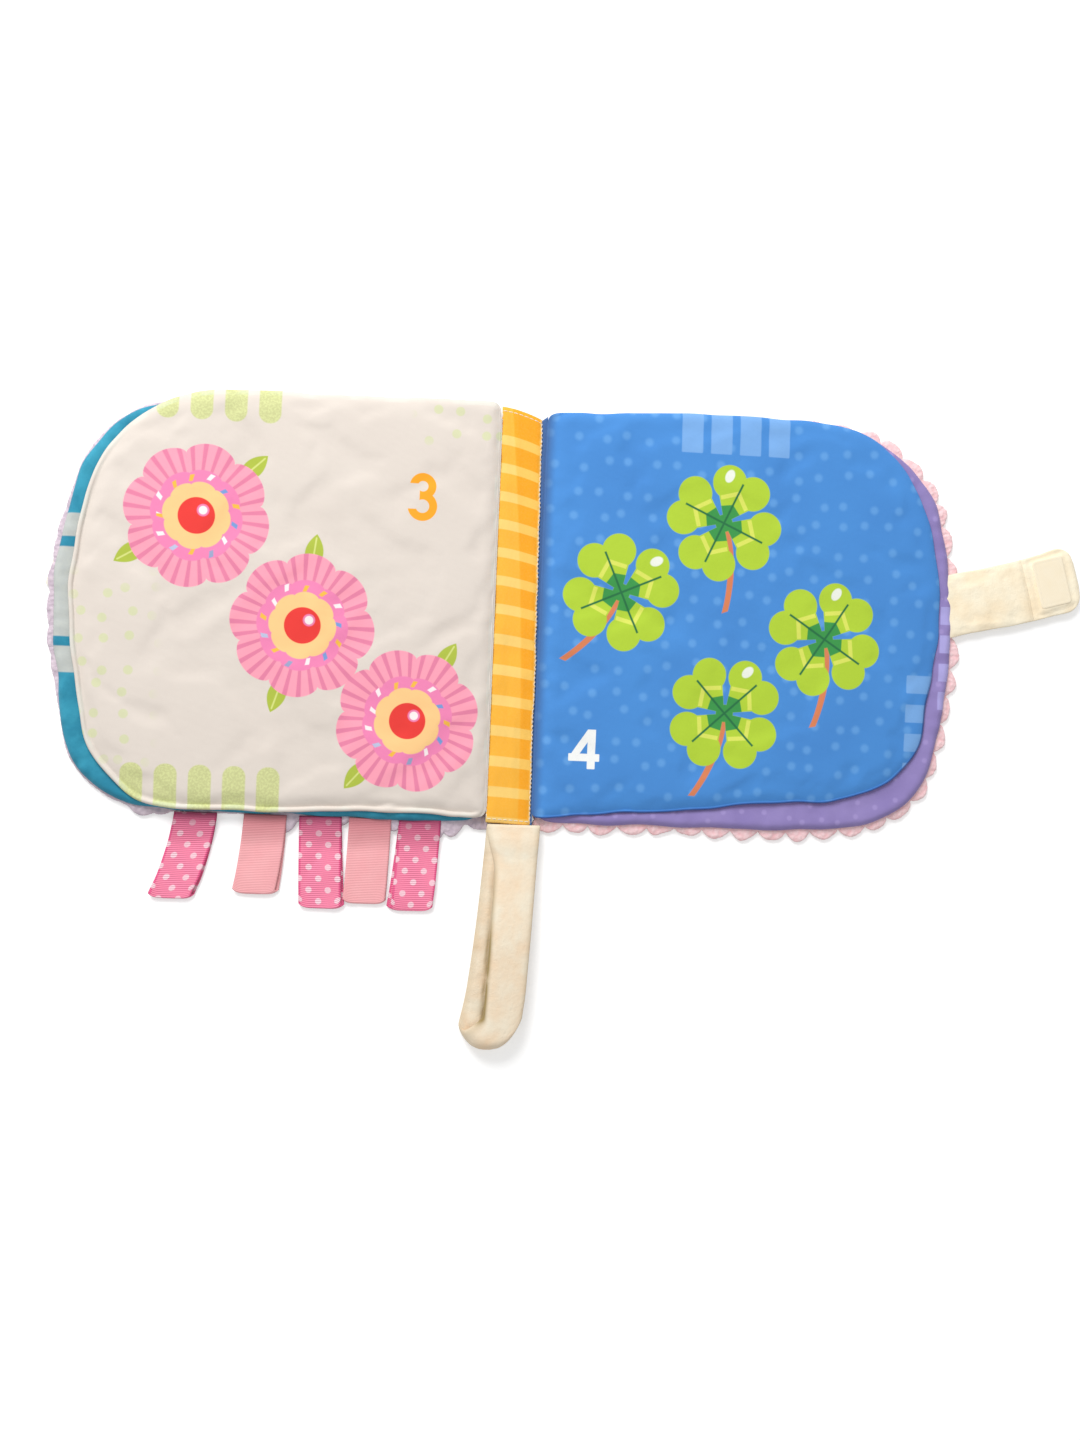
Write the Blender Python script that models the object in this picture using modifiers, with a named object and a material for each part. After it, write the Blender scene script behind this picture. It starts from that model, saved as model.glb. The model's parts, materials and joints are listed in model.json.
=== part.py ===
# Crinkle cloth book: a padded fabric baby book, lying open on its back.
# The origin is the centre of the spine's flat underside. +X points to the right page,
# +Y to the top of the pages and +Z up. All lengths are in metres.
#
# Two padded covers are sewn to a padded spine, and each carries a crackling page.
# A closure strap on the back cover wraps round the closed book, a plush carry loop
# hangs from the foot of the spine, and five ribbon loops from the foot of the front cover.

import math

import bmesh
import bpy
import numpy as np

BOOK = "crinkle_cloth_book"
CUTTERS = "cutters"

# Fit between touching fabrics
CLEAR = 0.0003

# Fabric stack of the covers and the spine
PLUSH_THICK = 0.0015
PLUSH_ROUND = 0.0004
COVER_THICK = 0.0050
LINING_THICK = 0.0005
FILM_THICK = 0.0002

# Cover outline, measured to the seam of its lining
COVER_TOP = 0.0950
COVER_FOOT = 0.0983
COVER_FORE_EDGE = 0.2040
COVER_BOW = 0.0135
COVER_TOP_CORNER = 0.0360
COVER_FOOT_CORNER = 0.0300
COVER_ROOT_CORNER = 0.0050
COVER_DRAW = 0.0140
WADDING_MARGIN = 0.0045
SCALLOP_PITCH = 0.0137
SCALLOP_DEPTH = 0.0043

# Page outline and stack
PAGE_SEAM = 0.0008
PAGE_FOLD_SEAM = 0.00025
PAGE_PAST_TOP = 0.0035
PAGE_SHORT_OF_FOOT = 0.0008
PAGE_FORE_EDGE = 0.1930
PAGE_BOW = 0.0170
PAGE_TOP_CORNER = 0.0500
LEFT_FOOT_CORNER = 0.0340
RIGHT_FOOT_CORNER = 0.0460
PAGE_ROOT_CORNER = 0.0030
PAGE_DRAW = 0.0120
PAGE_THICK = 0.0030
PAGE_PANEL_THICK = 0.0005
RIGHT_PAGE_LEAN = math.radians(3.2)
FILM_MARGIN = 0.0030

# Spine
SPINE_WIDTH = 0.0258
STRIP_WIDTH = 0.0202
STRIP_PAST_TOP = 0.0033
STRIP_PAST_FOOT = 0.0007
STRIP_THICK = 0.0010
SPINE_WADDING_THICK = 0.0014
SPINE_WADDING_MARGIN = 0.0006
SPINE_CORNER = 0.0030

# Closure strap with its touch fastener
STRAP_WIDTH = 0.0305
STRAP_THICK = 0.0025
STRAP_TIP_LENGTH = 0.0265
STRAP_CORNER = 0.0070
STRAP_RISE = math.radians(15.8)
STRAP_HEIGHT = 0.0162
PATCH_LENGTH = 0.0160
PATCH_WIDTH = 0.0240
PATCH_THICK = 0.0008
PATCH_CORNER = 0.0015
PATCH_SET_BACK = 0.0045

# Carry loop, a folded plush band
LOOP_WIDTH = 0.0255
LOOP_THICK = 0.0025
LOOP_REACH = 0.1070
LOOP_GAP = 0.0050
LOOP_ROOT_SHIFT = 0.0030
LOOP_LEAN = math.radians(4.2)
LOOP_STAGGER = 0.0070

# Ribbon loops
RIBBON_WIDTH = 0.0200
RIBBON_THICK = 0.0005
RIBBON_GAP = 0.0008
RIBBON_LENGTH = 0.0400

# What hangs off an edge lies on the plush first, then comes down to this height
FLOOR_LIFT = 0.0003
DROP_PAST_EDGE = 0.0007
DROP_LENGTH = 0.0110

# Shares of the cover's width to each ribbon, of the ribbon length that each reaches,
# and of the ribbon width that its free end lies to the right of its root
RIBBON_PLACE_SHARES = (0.703, 0.533, 0.397, 0.274, 0.150)
RIBBON_REACH_SHARES = (1.03, 0.95, 1.10, 1.03, 1.10)
RIBBON_LEAN_SHARES = (-0.54, -0.21, 0.06, -0.08, -0.12)

# How many segments the round and the straight stretches of an outline have
ARC_STEPS = 7
EDGE_STEPS = 5
SCALLOP_STEPS = 5
FOLD_STEPS = 8
RUN_STEPS = 9

COLOURS = {
    "plush_lilac": (0.49, 0.48, 0.55),
    "plush_pink": (0.91, 0.52, 0.55),
    "turquoise_cotton": (0.03, 0.30, 0.51),
    "purple_cotton": (0.26, 0.19, 0.48),
    "cream_cotton": (0.85, 0.77, 0.69),
    "blue_cotton": (0.07, 0.30, 0.73),
    "gingham": (0.97, 0.46, 0.04),
    "plush_cream": (0.87, 0.75, 0.58),
    "fleece_yellow": (0.97, 0.81, 0.58),
    "ribbon_hot_pink": (0.96, 0.10, 0.30),
    "ribbon_light_pink": (0.97, 0.46, 0.48),
    "wadding": (0.90, 0.90, 0.88),
    "film": (0.80, 0.82, 0.84),
    "touch_fastener": (0.88, 0.87, 0.84),
}
SMOOTH = {"film": 0.25, "touch_fastener": 0.6}
FABRIC_ROUGHNESS = 0.9

# Places that follow from the pieces beside them. The covers fold beside the spine and
# the pages beside the strip
COVER_FOLD = SPINE_WIDTH / 2 + CLEAR
PAGE_ROOT = STRIP_WIDTH / 2 + PAGE_SEAM
PAGE_FOLD = PAGE_ROOT - PAGE_FOLD_SEAM
PAGE_TOP = COVER_TOP + PAGE_PAST_TOP
PAGE_FOOT = COVER_FOOT - PAGE_SHORT_OF_FOOT
STRIP_TOP = COVER_TOP + STRIP_PAST_TOP
STRIP_FOOT = COVER_FOOT + STRIP_PAST_FOOT
DROP_START = SCALLOP_DEPTH + DROP_PAST_EDGE
DROP_END = DROP_START + DROP_LENGTH

# Heights that follow from the stack
COVER_INNER = PLUSH_THICK + CLEAR
COVER_CEILING = COVER_THICK - LINING_THICK
PAGE_FLOOR = COVER_THICK + CLEAR
PAGE_PANEL_TOP = PAGE_FLOOR + PAGE_PANEL_THICK
PAGE_CREST = PAGE_FLOOR + PAGE_THICK
STRIP_FLOOR = COVER_INNER + SPINE_WADDING_THICK + CLEAR
LEFT_FOLD_HEIGHT = PAGE_CREST + CLEAR / 2
RIGHT_FOLD_HEIGHT = LEFT_FOLD_HEIGHT + (PAGE_THICK + CLEAR) / 2
STRAP_TOP = COVER_INNER + STRAP_THICK


def clear_scene():
    for obj in list(bpy.data.objects):
        bpy.data.objects.remove(obj, do_unlink=True)


def new_collection(name):
    collection = bpy.data.collections.new(name)
    bpy.context.scene.collection.children.link(collection)
    return collection


def finish_material(name):
    material = bpy.data.materials.get(name)
    if material is None:
        material = bpy.data.materials.new(name)
        material.use_nodes = True
        shader = material.node_tree.nodes["Principled BSDF"]
        shader.inputs["Base Color"].default_value = COLOURS[name] + (1.0,)
        shader.inputs["Roughness"].default_value = SMOOTH.get(name, FABRIC_ROUGHNESS)
        shader.inputs["Metallic"].default_value = 0.0
    return material


def add_object(name, data, finish):
    obj = bpy.data.objects.new(name, data)
    bpy.data.collections[BOOK].objects.link(obj)
    data.materials.append(finish_material(finish))
    return obj


def fold_line(name, place, carrier=None):
    # an empty on a joint's axis; its own place is kept in world coordinates
    empty = bpy.data.objects.new(name, None)
    bpy.data.collections[BOOK].objects.link(empty)
    empty["place"] = place
    empty.location = place
    if carrier is not None:
        empty.parent = carrier
        empty.location = [a - b for a, b in zip(place, carrier["place"])]
    return empty


def hang(pieces, carrier):
    # the pieces keep their place and turn with the carrier
    for piece in pieces:
        piece.parent = carrier
        piece.location = [a - b for a, b in zip(piece.location, carrier["place"])]


# Outlines, all counter-clockwise seen from above, as arrays of points

def arc(centre, radius, start, end, steps=ARC_STEPS):
    angles = np.linspace(start, end, steps + 1)
    return np.column_stack((centre[0] + radius * np.cos(angles), centre[1] + radius * np.sin(angles)))


def edge(start, end, steps=EDGE_STEPS):
    # the inner points of a straight stretch
    share = np.linspace(0, 1, steps + 1)[1:-1, None]
    return np.asarray(start) * (1 - share) + np.asarray(end) * share


def rounded_panel(root, fore_edge, foot, top, corners):
    # a box with its own radius at each corner: root foot, fore-edge foot, fore-edge top, root top
    quarter = math.pi / 2
    places = (
        (root + corners[0], corners[0] - foot, -math.pi),
        (fore_edge - corners[1], corners[1] - foot, -quarter),
        (fore_edge - corners[2], top - corners[2], 0),
        (root + corners[3], top - corners[3], quarter),
    )
    arcs = [arc((x, y), r, a, a + quarter) for (x, y, a), r in zip(places, corners)]
    pieces = []
    for index, piece in enumerate(arcs):
        following = arcs[(index + 1) % len(arcs)]
        pieces.append(piece)
        pieces.append(edge(piece[-1], following[0]))
    return np.vstack(pieces)


def bowed(points, root, fore_edge, foot, top, bow):
    # the fore-edge swells outwards by the bow at mid height and by nothing at its ends
    middle = (top - foot) / 2
    height = np.abs(points[:, 1] - middle) / ((top + foot) / 2)
    swell = bow * (1 - height ** 1.3) / (fore_edge - root)
    return np.column_stack((points[:, 0] + (points[:, 0] - root) * swell, points[:, 1]))


def lining_outline():
    corners = (COVER_ROOT_CORNER, COVER_FOOT_CORNER, COVER_TOP_CORNER, COVER_ROOT_CORNER)
    root = COVER_FOLD + CLEAR / 2
    panel = rounded_panel(root, COVER_FORE_EDGE, COVER_FOOT, COVER_TOP, corners)
    return bowed(panel, root, COVER_FORE_EDGE, COVER_FOOT, COVER_TOP, COVER_BOW)


def page_outline(foot_corner, lean):
    corners = (PAGE_ROOT_CORNER, foot_corner, PAGE_TOP_CORNER, PAGE_ROOT_CORNER)
    panel = rounded_panel(PAGE_ROOT, PAGE_FORE_EDGE, PAGE_FOOT, PAGE_TOP, corners)
    page = bowed(panel, PAGE_ROOT, PAGE_FORE_EDGE, PAGE_FOOT, PAGE_TOP, PAGE_BOW)
    page[:, 1] += (page[:, 0] - PAGE_ROOT) * math.tan(lean)
    return page


def lengths_along(points):
    steps = np.linalg.norm(np.roll(points, -1, axis=0) - points, axis=1)
    return np.concatenate(([0], np.cumsum(steps)))


def evenly(points, count):
    # the closed outline again, with its points an equal step apart
    along = lengths_along(points)
    closed = np.vstack((points, points[:1]))
    wanted = np.linspace(0, along[-1], count, endpoint=False)
    return np.column_stack([np.interp(wanted, along, closed[:, axis]) for axis in (0, 1)])


def pushed_out(points, distance):
    # each point moved outwards along the outline's own normal
    run = np.roll(points, -1, axis=0) - np.roll(points, 1, axis=0)
    normal = np.column_stack((run[:, 1], -run[:, 0]))
    normal /= np.linalg.norm(normal, axis=1)[:, None]
    return points + normal * np.asarray(distance).reshape(-1, 1)


def scalloped(points):
    # round bumps on the three free sides, none along the root
    count = round(lengths_along(points)[-1] / SCALLOP_PITCH)
    smooth = evenly(points, count * SCALLOP_STEPS)
    phase = np.arange(len(smooth)) / SCALLOP_STEPS
    bump = np.abs(np.sin(math.pi * phase)) ** 0.75
    root = smooth[:, 0].min()
    free = np.clip((smooth[:, 0] - root - COVER_ROOT_CORNER) / COVER_ROOT_CORNER, 0, 1)
    return pushed_out(smooth, SCALLOP_DEPTH * bump * free)


def drawn_in(points, distance):
    # the outline shrunk towards its middle, by the distance at the ends of its shorter side
    low = points.min(axis=0)
    high = points.max(axis=0)
    middle = (low + high) / 2
    share = 1 - 2 * distance / (high - low).min()
    return middle + (points - middle) * share


def mirrored(points):
    # the same outline on the left of the spine, still counter-clockwise
    return (points * (-1, 1))[::-1]


# Solids

def ring_solid(name, rings, finish):
    # a loft through rings of (outline, height), from its lower cap to its upper one
    mesh = bpy.data.meshes.new(name)
    shape = bmesh.new()
    loops = [[shape.verts.new((x, y, height)) for x, y in outline] for outline, height in rings]
    shape.faces.new(loops[0][::-1])
    for lower, upper in zip(loops, loops[1:]):
        for index, corner in enumerate(lower):
            before = index - 1
            shape.faces.new((lower[before], corner, upper[index], upper[before]))
    shape.faces.new(loops[-1])
    bmesh.ops.triangulate(shape, faces=[face for face in shape.faces if len(face.verts) > 4])
    shape.to_mesh(mesh)
    shape.free()
    mesh.shade_smooth()
    mesh.set_sharp_from_angle(angle=math.radians(40))
    return add_object(name, mesh, finish)


def flat_piece(name, outline, floor, thick, finish):
    # a flat piece of cloth or film: a 2D curve, filled and extruded
    curve = bpy.data.curves.new(name, "CURVE")
    curve.dimensions = "2D"
    curve.fill_mode = "BOTH"
    curve.extrude = thick / 2
    spline = curve.splines.new("POLY")
    spline.points.add(len(outline) - 1)
    for point, (x, y) in zip(spline.points, outline):
        point.co = (x, y, 0, 1)
    spline.use_cyclic_u = True
    piece = add_object(name, curve, finish)
    piece.location.z = floor + thick / 2
    return piece


def plush_panel(name, outline, finish):
    # the outer plush, its edge rounded and its underside flat
    inner = pushed_out(outline, -PLUSH_ROUND)
    rings = (
        (inner, 0),
        (outline, PLUSH_ROUND),
        (outline, PLUSH_THICK - PLUSH_ROUND),
        (inner, PLUSH_THICK),
    )
    return ring_solid(name, rings, finish)


def crowned_cover(name, outline, floor, top, thick, draw, finish):
    # an upper layer of cloth: a crowned tray, open below, with its rim on the floor height
    rise = top - floor
    ceiling = top - thick
    rings = (
        (drawn_in(outline, draw), ceiling),
        (drawn_in(outline, draw / 3), floor + (ceiling - floor) * 0.62),
        (drawn_in(outline, 2 * thick), floor),
        (outline, floor),
        (drawn_in(outline, thick / 2), floor + rise * 0.30),
        (drawn_in(outline, draw / 6), floor + rise * 0.58),
        (drawn_in(outline, draw / 2), floor + rise * 0.84),
        (drawn_in(outline, draw), floor + rise * 0.95),
        (drawn_in(outline, 3 * draw), top),
    )
    return ring_solid(name, rings, finish)


def cloth_band(name, path, drift, width, thick, finish):
    # a band of cloth along a path of (reach, height); drift moves each point sideways
    reach, height = path
    mesh = bpy.data.meshes.new(name)
    shape = bmesh.new()
    bmesh.ops.create_grid(shape, x_segments=1, y_segments=len(reach) - 1, size=1)
    share = np.linspace(0, 1, len(reach))
    for vert in shape.verts:
        along = (vert.co.y + 1) / 2
        side = vert.co.x * width / 2 + np.interp(along, share, drift)
        vert.co = (side, -np.interp(along, share, reach), np.interp(along, share, height))
    shape.to_mesh(mesh)
    shape.free()
    mesh.shade_smooth()
    band = add_object(name, mesh, finish)
    wall = band.modifiers.new("cloth", "SOLIDIFY")
    wall.thickness = thick
    wall.offset = 0
    wall.use_even_offset = True
    return band


def cut(piece, cutter):
    cutter.display_type = "WIRE"
    cutter.hide_render = True
    removal = piece.modifiers.new(cutter.name, "BOOLEAN")
    removal.operation = "DIFFERENCE"
    removal.object = cutter


def box_cutter(name, size, place, turn):
    mesh = bpy.data.meshes.new(name)
    shape = bmesh.new()
    bmesh.ops.create_cube(shape, size=1)
    bmesh.ops.scale(shape, vec=size, verts=shape.verts)
    shape.to_mesh(mesh)
    shape.free()
    cutter = bpy.data.objects.new(name, mesh)
    bpy.data.collections[CUTTERS].objects.link(cutter)
    cutter.location = place
    cutter.rotation_euler.z = turn
    return cutter


# Closure strap, in its own frame: along is measured from the spine, across from its middle line

ALONG = np.array((math.cos(STRAP_RISE), math.sin(STRAP_RISE)))
ACROSS = np.array((-math.sin(STRAP_RISE), math.cos(STRAP_RISE)))


def strap_middle():
    # where the middle line of the strap meets the cover's fore-edge, before the scallops
    fore_edge = COVER_FORE_EDGE + COVER_BOW
    return np.array((fore_edge, STRAP_HEIGHT))


def strap_frame(points):
    # plan points as (along, across) of the strap
    return np.column_stack((points @ ALONG, (points - strap_middle()) @ ACROSS))


def strap_plan(along, across):
    # back from (along, across) to a plan point
    start = strap_middle()
    return start + ALONG * (along - start @ ALONG) + ACROSS * across


def strap_fold_line():
    # the fold lies just outside the scallops, so that it clears both covers' edges
    edge_points = strap_frame(scalloped(lining_outline()))
    near = np.abs(edge_points[:, 1]) < STRAP_WIDTH / 2 + CLEAR
    return edge_points[near, 0].max() + CLEAR


def strap_root_length():
    # from the back cover's fold, across the closed book, to the front cover's outer face
    outer_face = 2 * COVER_FOLD + 2 * COVER_THICK
    return outer_face + CLEAR + PATCH_THICK + CLEAR - STRAP_TOP


def strap_segment(name, length, corners, finish, start):
    outline = rounded_panel(0, length, STRAP_WIDTH / 2, STRAP_WIDTH / 2, corners)
    piece = flat_piece(name, outline, COVER_INNER, STRAP_THICK, finish)
    piece.location.xy = strap_plan(start, 0)
    piece.rotation_euler.z = STRAP_RISE
    return piece


def strap_anchor():
    # the sewn-in end: from the lining's seam, over the scallops, to the fold
    seam = strap_frame(lining_outline())
    near = seam[np.abs(seam[:, 1]) < STRAP_WIDTH]
    near = near[near[:, 0] > near[:, 0].max() - STRAP_WIDTH]
    near = near[np.argsort(near[:, 1])]
    across = np.linspace(STRAP_WIDTH / 2, -STRAP_WIDTH / 2, EDGE_STEPS + 1)
    inner = np.interp(across, near[:, 1], near[:, 0]) + 2 * CLEAR
    outer = strap_fold_line() - CLEAR
    points = [strap_plan(a, c) for a, c in zip(inner, across)]
    points.append(strap_plan(outer, -STRAP_WIDTH / 2))
    points.append(strap_plan(outer, STRAP_WIDTH / 2))
    return flat_piece("strap_anchor", np.array(points), COVER_INNER, STRAP_THICK, "fleece_yellow")


def patch_outline(length, width):
    corners = (PATCH_CORNER,) * 4
    return rounded_panel(0, length, width / 2, width / 2, corners)


def hook_patch(tip_start):
    outline = patch_outline(PATCH_LENGTH, PATCH_WIDTH)
    patch = flat_piece("hook_patch", outline, STRAP_TOP + CLEAR, PATCH_THICK, "touch_fastener")
    patch.location.xy = strap_plan(tip_start + PATCH_SET_BACK, 0)
    patch.rotation_euler.z = STRAP_RISE
    return patch


def loop_patch(plush):
    # sewn into the outer face of the front cover, where the hook patch lands on the closed book
    outer = strap_fold_line() - PATCH_SET_BACK
    place = strap_plan(outer, 0) * (-1, 1)
    turn = -STRAP_RISE
    outline = patch_outline(PATCH_LENGTH, PATCH_WIDTH)
    patch = flat_piece("loop_patch", outline, FLOOR_LIFT, PATCH_THICK, "touch_fastener")
    patch.location.xy = place
    patch.rotation_euler.z = turn
    centre = place + np.array((math.cos(turn), math.sin(turn))) * PATCH_LENGTH / 2
    depth = FLOOR_LIFT + PATCH_THICK + CLEAR
    size = (PATCH_LENGTH + 2 * CLEAR, PATCH_WIDTH + 2 * CLEAR, 2 * depth)
    cut(plush, box_cutter("loop_patch_recess", size, (centre[0], centre[1], 0), turn))
    return patch


# Covers, pages and spine

def cover_pieces(side, outline, plush_colour, lining_colour):
    margin = drawn_in(outline, COVER_DRAW / 3 + WADDING_MARGIN)
    film_margin = drawn_in(outline, COVER_DRAW + CLEAR)
    film_floor = COVER_CEILING - CLEAR - FILM_THICK
    wadding_top = COVER_INNER + (COVER_CEILING - COVER_INNER) * 0.62 - CLEAR
    wadding_thick = wadding_top - COVER_INNER
    plush = plush_panel(side + "_cover_plush", scalloped_side(side), plush_colour)
    wadding = flat_piece(side + "_cover_wadding", margin, COVER_INNER, wadding_thick, "wadding")
    film = flat_piece(side + "_cover_film", film_margin, film_floor, FILM_THICK, "film")
    lining = crowned_cover(side + "_cover_lining", outline, COVER_INNER, COVER_THICK,
                           LINING_THICK, COVER_DRAW, lining_colour)
    return [plush, wadding, film, lining]


def scalloped_side(side):
    outline = scalloped(lining_outline())
    return mirrored(outline) if side == "front" else outline


def page_pieces(side, outline, colour):
    rim = PAGE_PANEL_TOP + CLEAR
    film_outline = drawn_in(outline, PAGE_DRAW + FILM_MARGIN)
    lower = flat_piece(side + "_page_lower", outline, PAGE_FLOOR, PAGE_PANEL_THICK, colour)
    film = flat_piece(side + "_page_film", film_outline, rim, FILM_THICK, "film")
    upper = crowned_cover(side + "_page_upper", outline, rim, PAGE_CREST,
                          PAGE_PANEL_THICK, PAGE_DRAW, colour)
    return [lower, film, upper]


def spine_pieces():
    corners = (SPINE_CORNER,) * 4
    half = SPINE_WIDTH / 2
    foot = COVER_FOOT + SCALLOP_DEPTH
    top = COVER_TOP + SCALLOP_DEPTH
    plush = plush_panel("spine_plush", rounded_panel(-half, half, foot, top, corners), "plush_lilac")
    half = STRIP_WIDTH / 2
    strip_outline = rounded_panel(-half, half, STRIP_FOOT, STRIP_TOP, corners)
    strip = flat_piece("gingham_strip", strip_outline, STRIP_FLOOR, STRIP_THICK, "gingham")
    wadding_outline = drawn_in(strip_outline, SPINE_WADDING_MARGIN)
    wadding = flat_piece("spine_wadding", wadding_outline, COVER_INNER, SPINE_WADDING_THICK, "wadding")
    return [plush, strip, wadding]


# Loops of band and ribbon

def folded_path(reach, gap, thick, root_gap):
    # out along the lower run, round the fold and back along the upper run, as (reach, height)
    radius = (gap + thick) / 2
    straight = reach - radius - thick / 2
    out = np.linspace(0, straight, RUN_STEPS)
    drop = np.clip((out - DROP_START) / (DROP_END - DROP_START), 0, 1)
    drop = drop * drop * (3 - 2 * drop)
    lower = COVER_INNER * (1 - drop) + FLOOR_LIFT * drop + thick / 2
    opening = np.clip(out / (straight * 0.6), 0, 1)
    opening = opening * opening * (3 - 2 * opening)
    upper = lower + thick + root_gap + (gap - root_gap) * opening
    turn = np.linspace(-math.pi / 2, math.pi / 2, FOLD_STEPS + 1)[1:-1]
    fold_reach = straight + radius * np.cos(turn)
    fold_height = lower[-1] + radius + radius * np.sin(turn)
    return (np.concatenate((out, fold_reach, out[::-1])),
            np.concatenate((lower, fold_height, upper[::-1])))


def carry_loop():
    # the lower run drifts out from under the upper one towards the fold
    path = folded_path(LOOP_REACH, LOOP_GAP, LOOP_THICK, CLEAR)
    reach, height = path
    level = np.concatenate((np.ones(RUN_STEPS), np.linspace(1, 0, FOLD_STEPS + 1)[1:-1],
                            np.zeros(RUN_STEPS)))
    drift = -reach * math.tan(LOOP_LEAN) - LOOP_STAGGER * level * reach / LOOP_REACH
    band = cloth_band("carry_loop_band", path, drift, LOOP_WIDTH, LOOP_THICK, "plush_cream")
    band.location = (LOOP_ROOT_SHIFT, -STRIP_FOOT - 2 * CLEAR, 0)
    return band


def loop_root_height(thick, root_gap):
    return COVER_INNER + 2 * thick + root_gap


def ribbon(index):
    # one ribbon loop, sewn into the foot seam of the front cover
    width = COVER_FORE_EDGE - COVER_FOLD
    root = -COVER_FOLD - width * RIBBON_PLACE_SHARES[index]
    reach = RIBBON_LENGTH * RIBBON_REACH_SHARES[index]
    path = folded_path(reach, RIBBON_GAP, RIBBON_THICK, CLEAR)
    drift = path[0] / reach * RIBBON_WIDTH * RIBBON_LEAN_SHARES[index]
    finish = "ribbon_light_pink" if index in (1, 3) else "ribbon_hot_pink"
    name = "ribbon_%d_loop" % (index + 1)
    piece = cloth_band(name, path, drift, RIBBON_WIDTH, RIBBON_THICK, finish)
    piece.location = (root, -COVER_FOOT - 2 * CLEAR, 0)
    return piece


def build():
    clear_scene()
    new_collection(BOOK)
    new_collection(CUTTERS)

    spine_pieces()
    lining = lining_outline()
    front = cover_pieces("front", mirrored(lining), "plush_lilac", "turquoise_cotton")
    back = cover_pieces("back", lining, "plush_pink", "purple_cotton")
    left = page_pieces("left", mirrored(page_outline(LEFT_FOOT_CORNER, 0)), "cream_cotton")
    right = page_pieces("right", page_outline(RIGHT_FOOT_CORNER, RIGHT_PAGE_LEAN), "blue_cotton")

    front_fold = fold_line("front_cover_fold", (-COVER_FOLD, 0, COVER_THICK))
    back_fold = fold_line("back_cover_fold", (COVER_FOLD, 0, COVER_THICK))
    left_fold = fold_line("left_page_fold", (-PAGE_FOLD, 0, LEFT_FOLD_HEIGHT), front_fold)
    right_fold = fold_line("right_page_fold", (PAGE_FOLD, 0, RIGHT_FOLD_HEIGHT), back_fold)
    front.append(loop_patch(front[0]))
    back.append(strap_anchor())
    hang(front, front_fold)
    hang(back, back_fold)
    hang(left, left_fold)
    hang(right, right_fold)

    root_start = strap_fold_line()
    tip_start = root_start + strap_root_length()
    square = (PATCH_CORNER,) * 4
    rounded = (PATCH_CORNER, STRAP_CORNER, STRAP_CORNER, PATCH_CORNER)
    root_band = strap_segment("strap_root_band", tip_start - root_start - CLEAR, square,
                              "fleece_yellow", root_start)
    tip_band = strap_segment("strap_tip_band", STRAP_TIP_LENGTH, rounded,
                             "fleece_yellow", tip_start)
    root_fold = fold_line("strap_root_fold", (*strap_plan(root_start, 0), STRAP_TOP), back_fold)
    tip_fold = fold_line("strap_tip_fold", (*strap_plan(tip_start, 0), STRAP_TOP), root_fold)
    hang([root_band], root_fold)
    hang([tip_band, hook_patch(tip_start)], tip_fold)

    band = carry_loop()
    band_root = loop_root_height(LOOP_THICK, CLEAR)
    hang([band], fold_line("carry_loop_fold", (band.location.x, band.location.y, band_root)))
    ribbon_root = loop_root_height(RIBBON_THICK, CLEAR)
    for index in range(len(RIBBON_PLACE_SHARES)):
        piece = ribbon(index)
        place = (piece.location.x, piece.location.y, ribbon_root)
        hang([piece], fold_line("ribbon_%d_fold" % (index + 1), place, front_fold))


build()
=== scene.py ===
# Looks of a crinkle cloth book that lies open: its cloth, plush, fleece, ribbons, prints and
# stitches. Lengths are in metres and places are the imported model's own: +X right, +Y to the
# pages' top, +Z up.

import json
import math

import bpy
import numpy as np
from mathutils import Matrix, Vector, geometry


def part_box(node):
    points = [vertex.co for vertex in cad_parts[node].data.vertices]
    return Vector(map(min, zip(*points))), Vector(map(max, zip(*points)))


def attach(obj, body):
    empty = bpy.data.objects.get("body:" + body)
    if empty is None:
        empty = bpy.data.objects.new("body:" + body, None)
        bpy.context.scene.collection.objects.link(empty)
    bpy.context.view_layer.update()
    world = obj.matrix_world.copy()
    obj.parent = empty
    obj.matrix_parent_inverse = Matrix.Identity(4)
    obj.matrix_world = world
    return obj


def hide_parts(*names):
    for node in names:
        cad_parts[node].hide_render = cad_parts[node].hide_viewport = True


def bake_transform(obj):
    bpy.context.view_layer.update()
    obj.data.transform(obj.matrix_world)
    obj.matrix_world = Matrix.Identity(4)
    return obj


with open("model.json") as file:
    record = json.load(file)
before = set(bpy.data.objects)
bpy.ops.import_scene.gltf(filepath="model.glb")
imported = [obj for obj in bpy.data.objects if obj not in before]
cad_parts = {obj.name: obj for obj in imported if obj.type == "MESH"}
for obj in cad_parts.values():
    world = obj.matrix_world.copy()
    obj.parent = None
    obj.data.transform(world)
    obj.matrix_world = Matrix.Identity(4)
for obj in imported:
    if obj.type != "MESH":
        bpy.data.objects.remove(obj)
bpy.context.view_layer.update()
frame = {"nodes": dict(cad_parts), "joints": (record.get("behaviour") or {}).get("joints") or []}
mm = 0.001
joints = {joint["name"]: joint for joint in frame["joints"]}


def report(stage):
    print("[cloth book]", stage)


def nodePoints(node):
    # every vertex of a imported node, as rows of x, y, z
    mesh = frame["nodes"][node].data
    points = np.zeros(len(mesh.vertices) * 3, np.float32)
    mesh.vertices.foreach_get("co", points)
    return points.reshape(-1, 3).astype(float)


def lengthsOf(path):
    # how far along the path each of its points lies
    return np.concatenate(([0], np.cumsum(np.linalg.norm(np.diff(path, axis=0), axis=1))))


def pointsAt(wanted, along, path):
    # the path's points at the wanted lengths, by straight lines between its own points
    return np.column_stack([np.interp(wanted, along, column) for column in path.T])


def hump(value, width):
    # a Gaussian: 1 at zero, and e to the -1 at the width
    return np.exp(-(value / width) ** 2)


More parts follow.
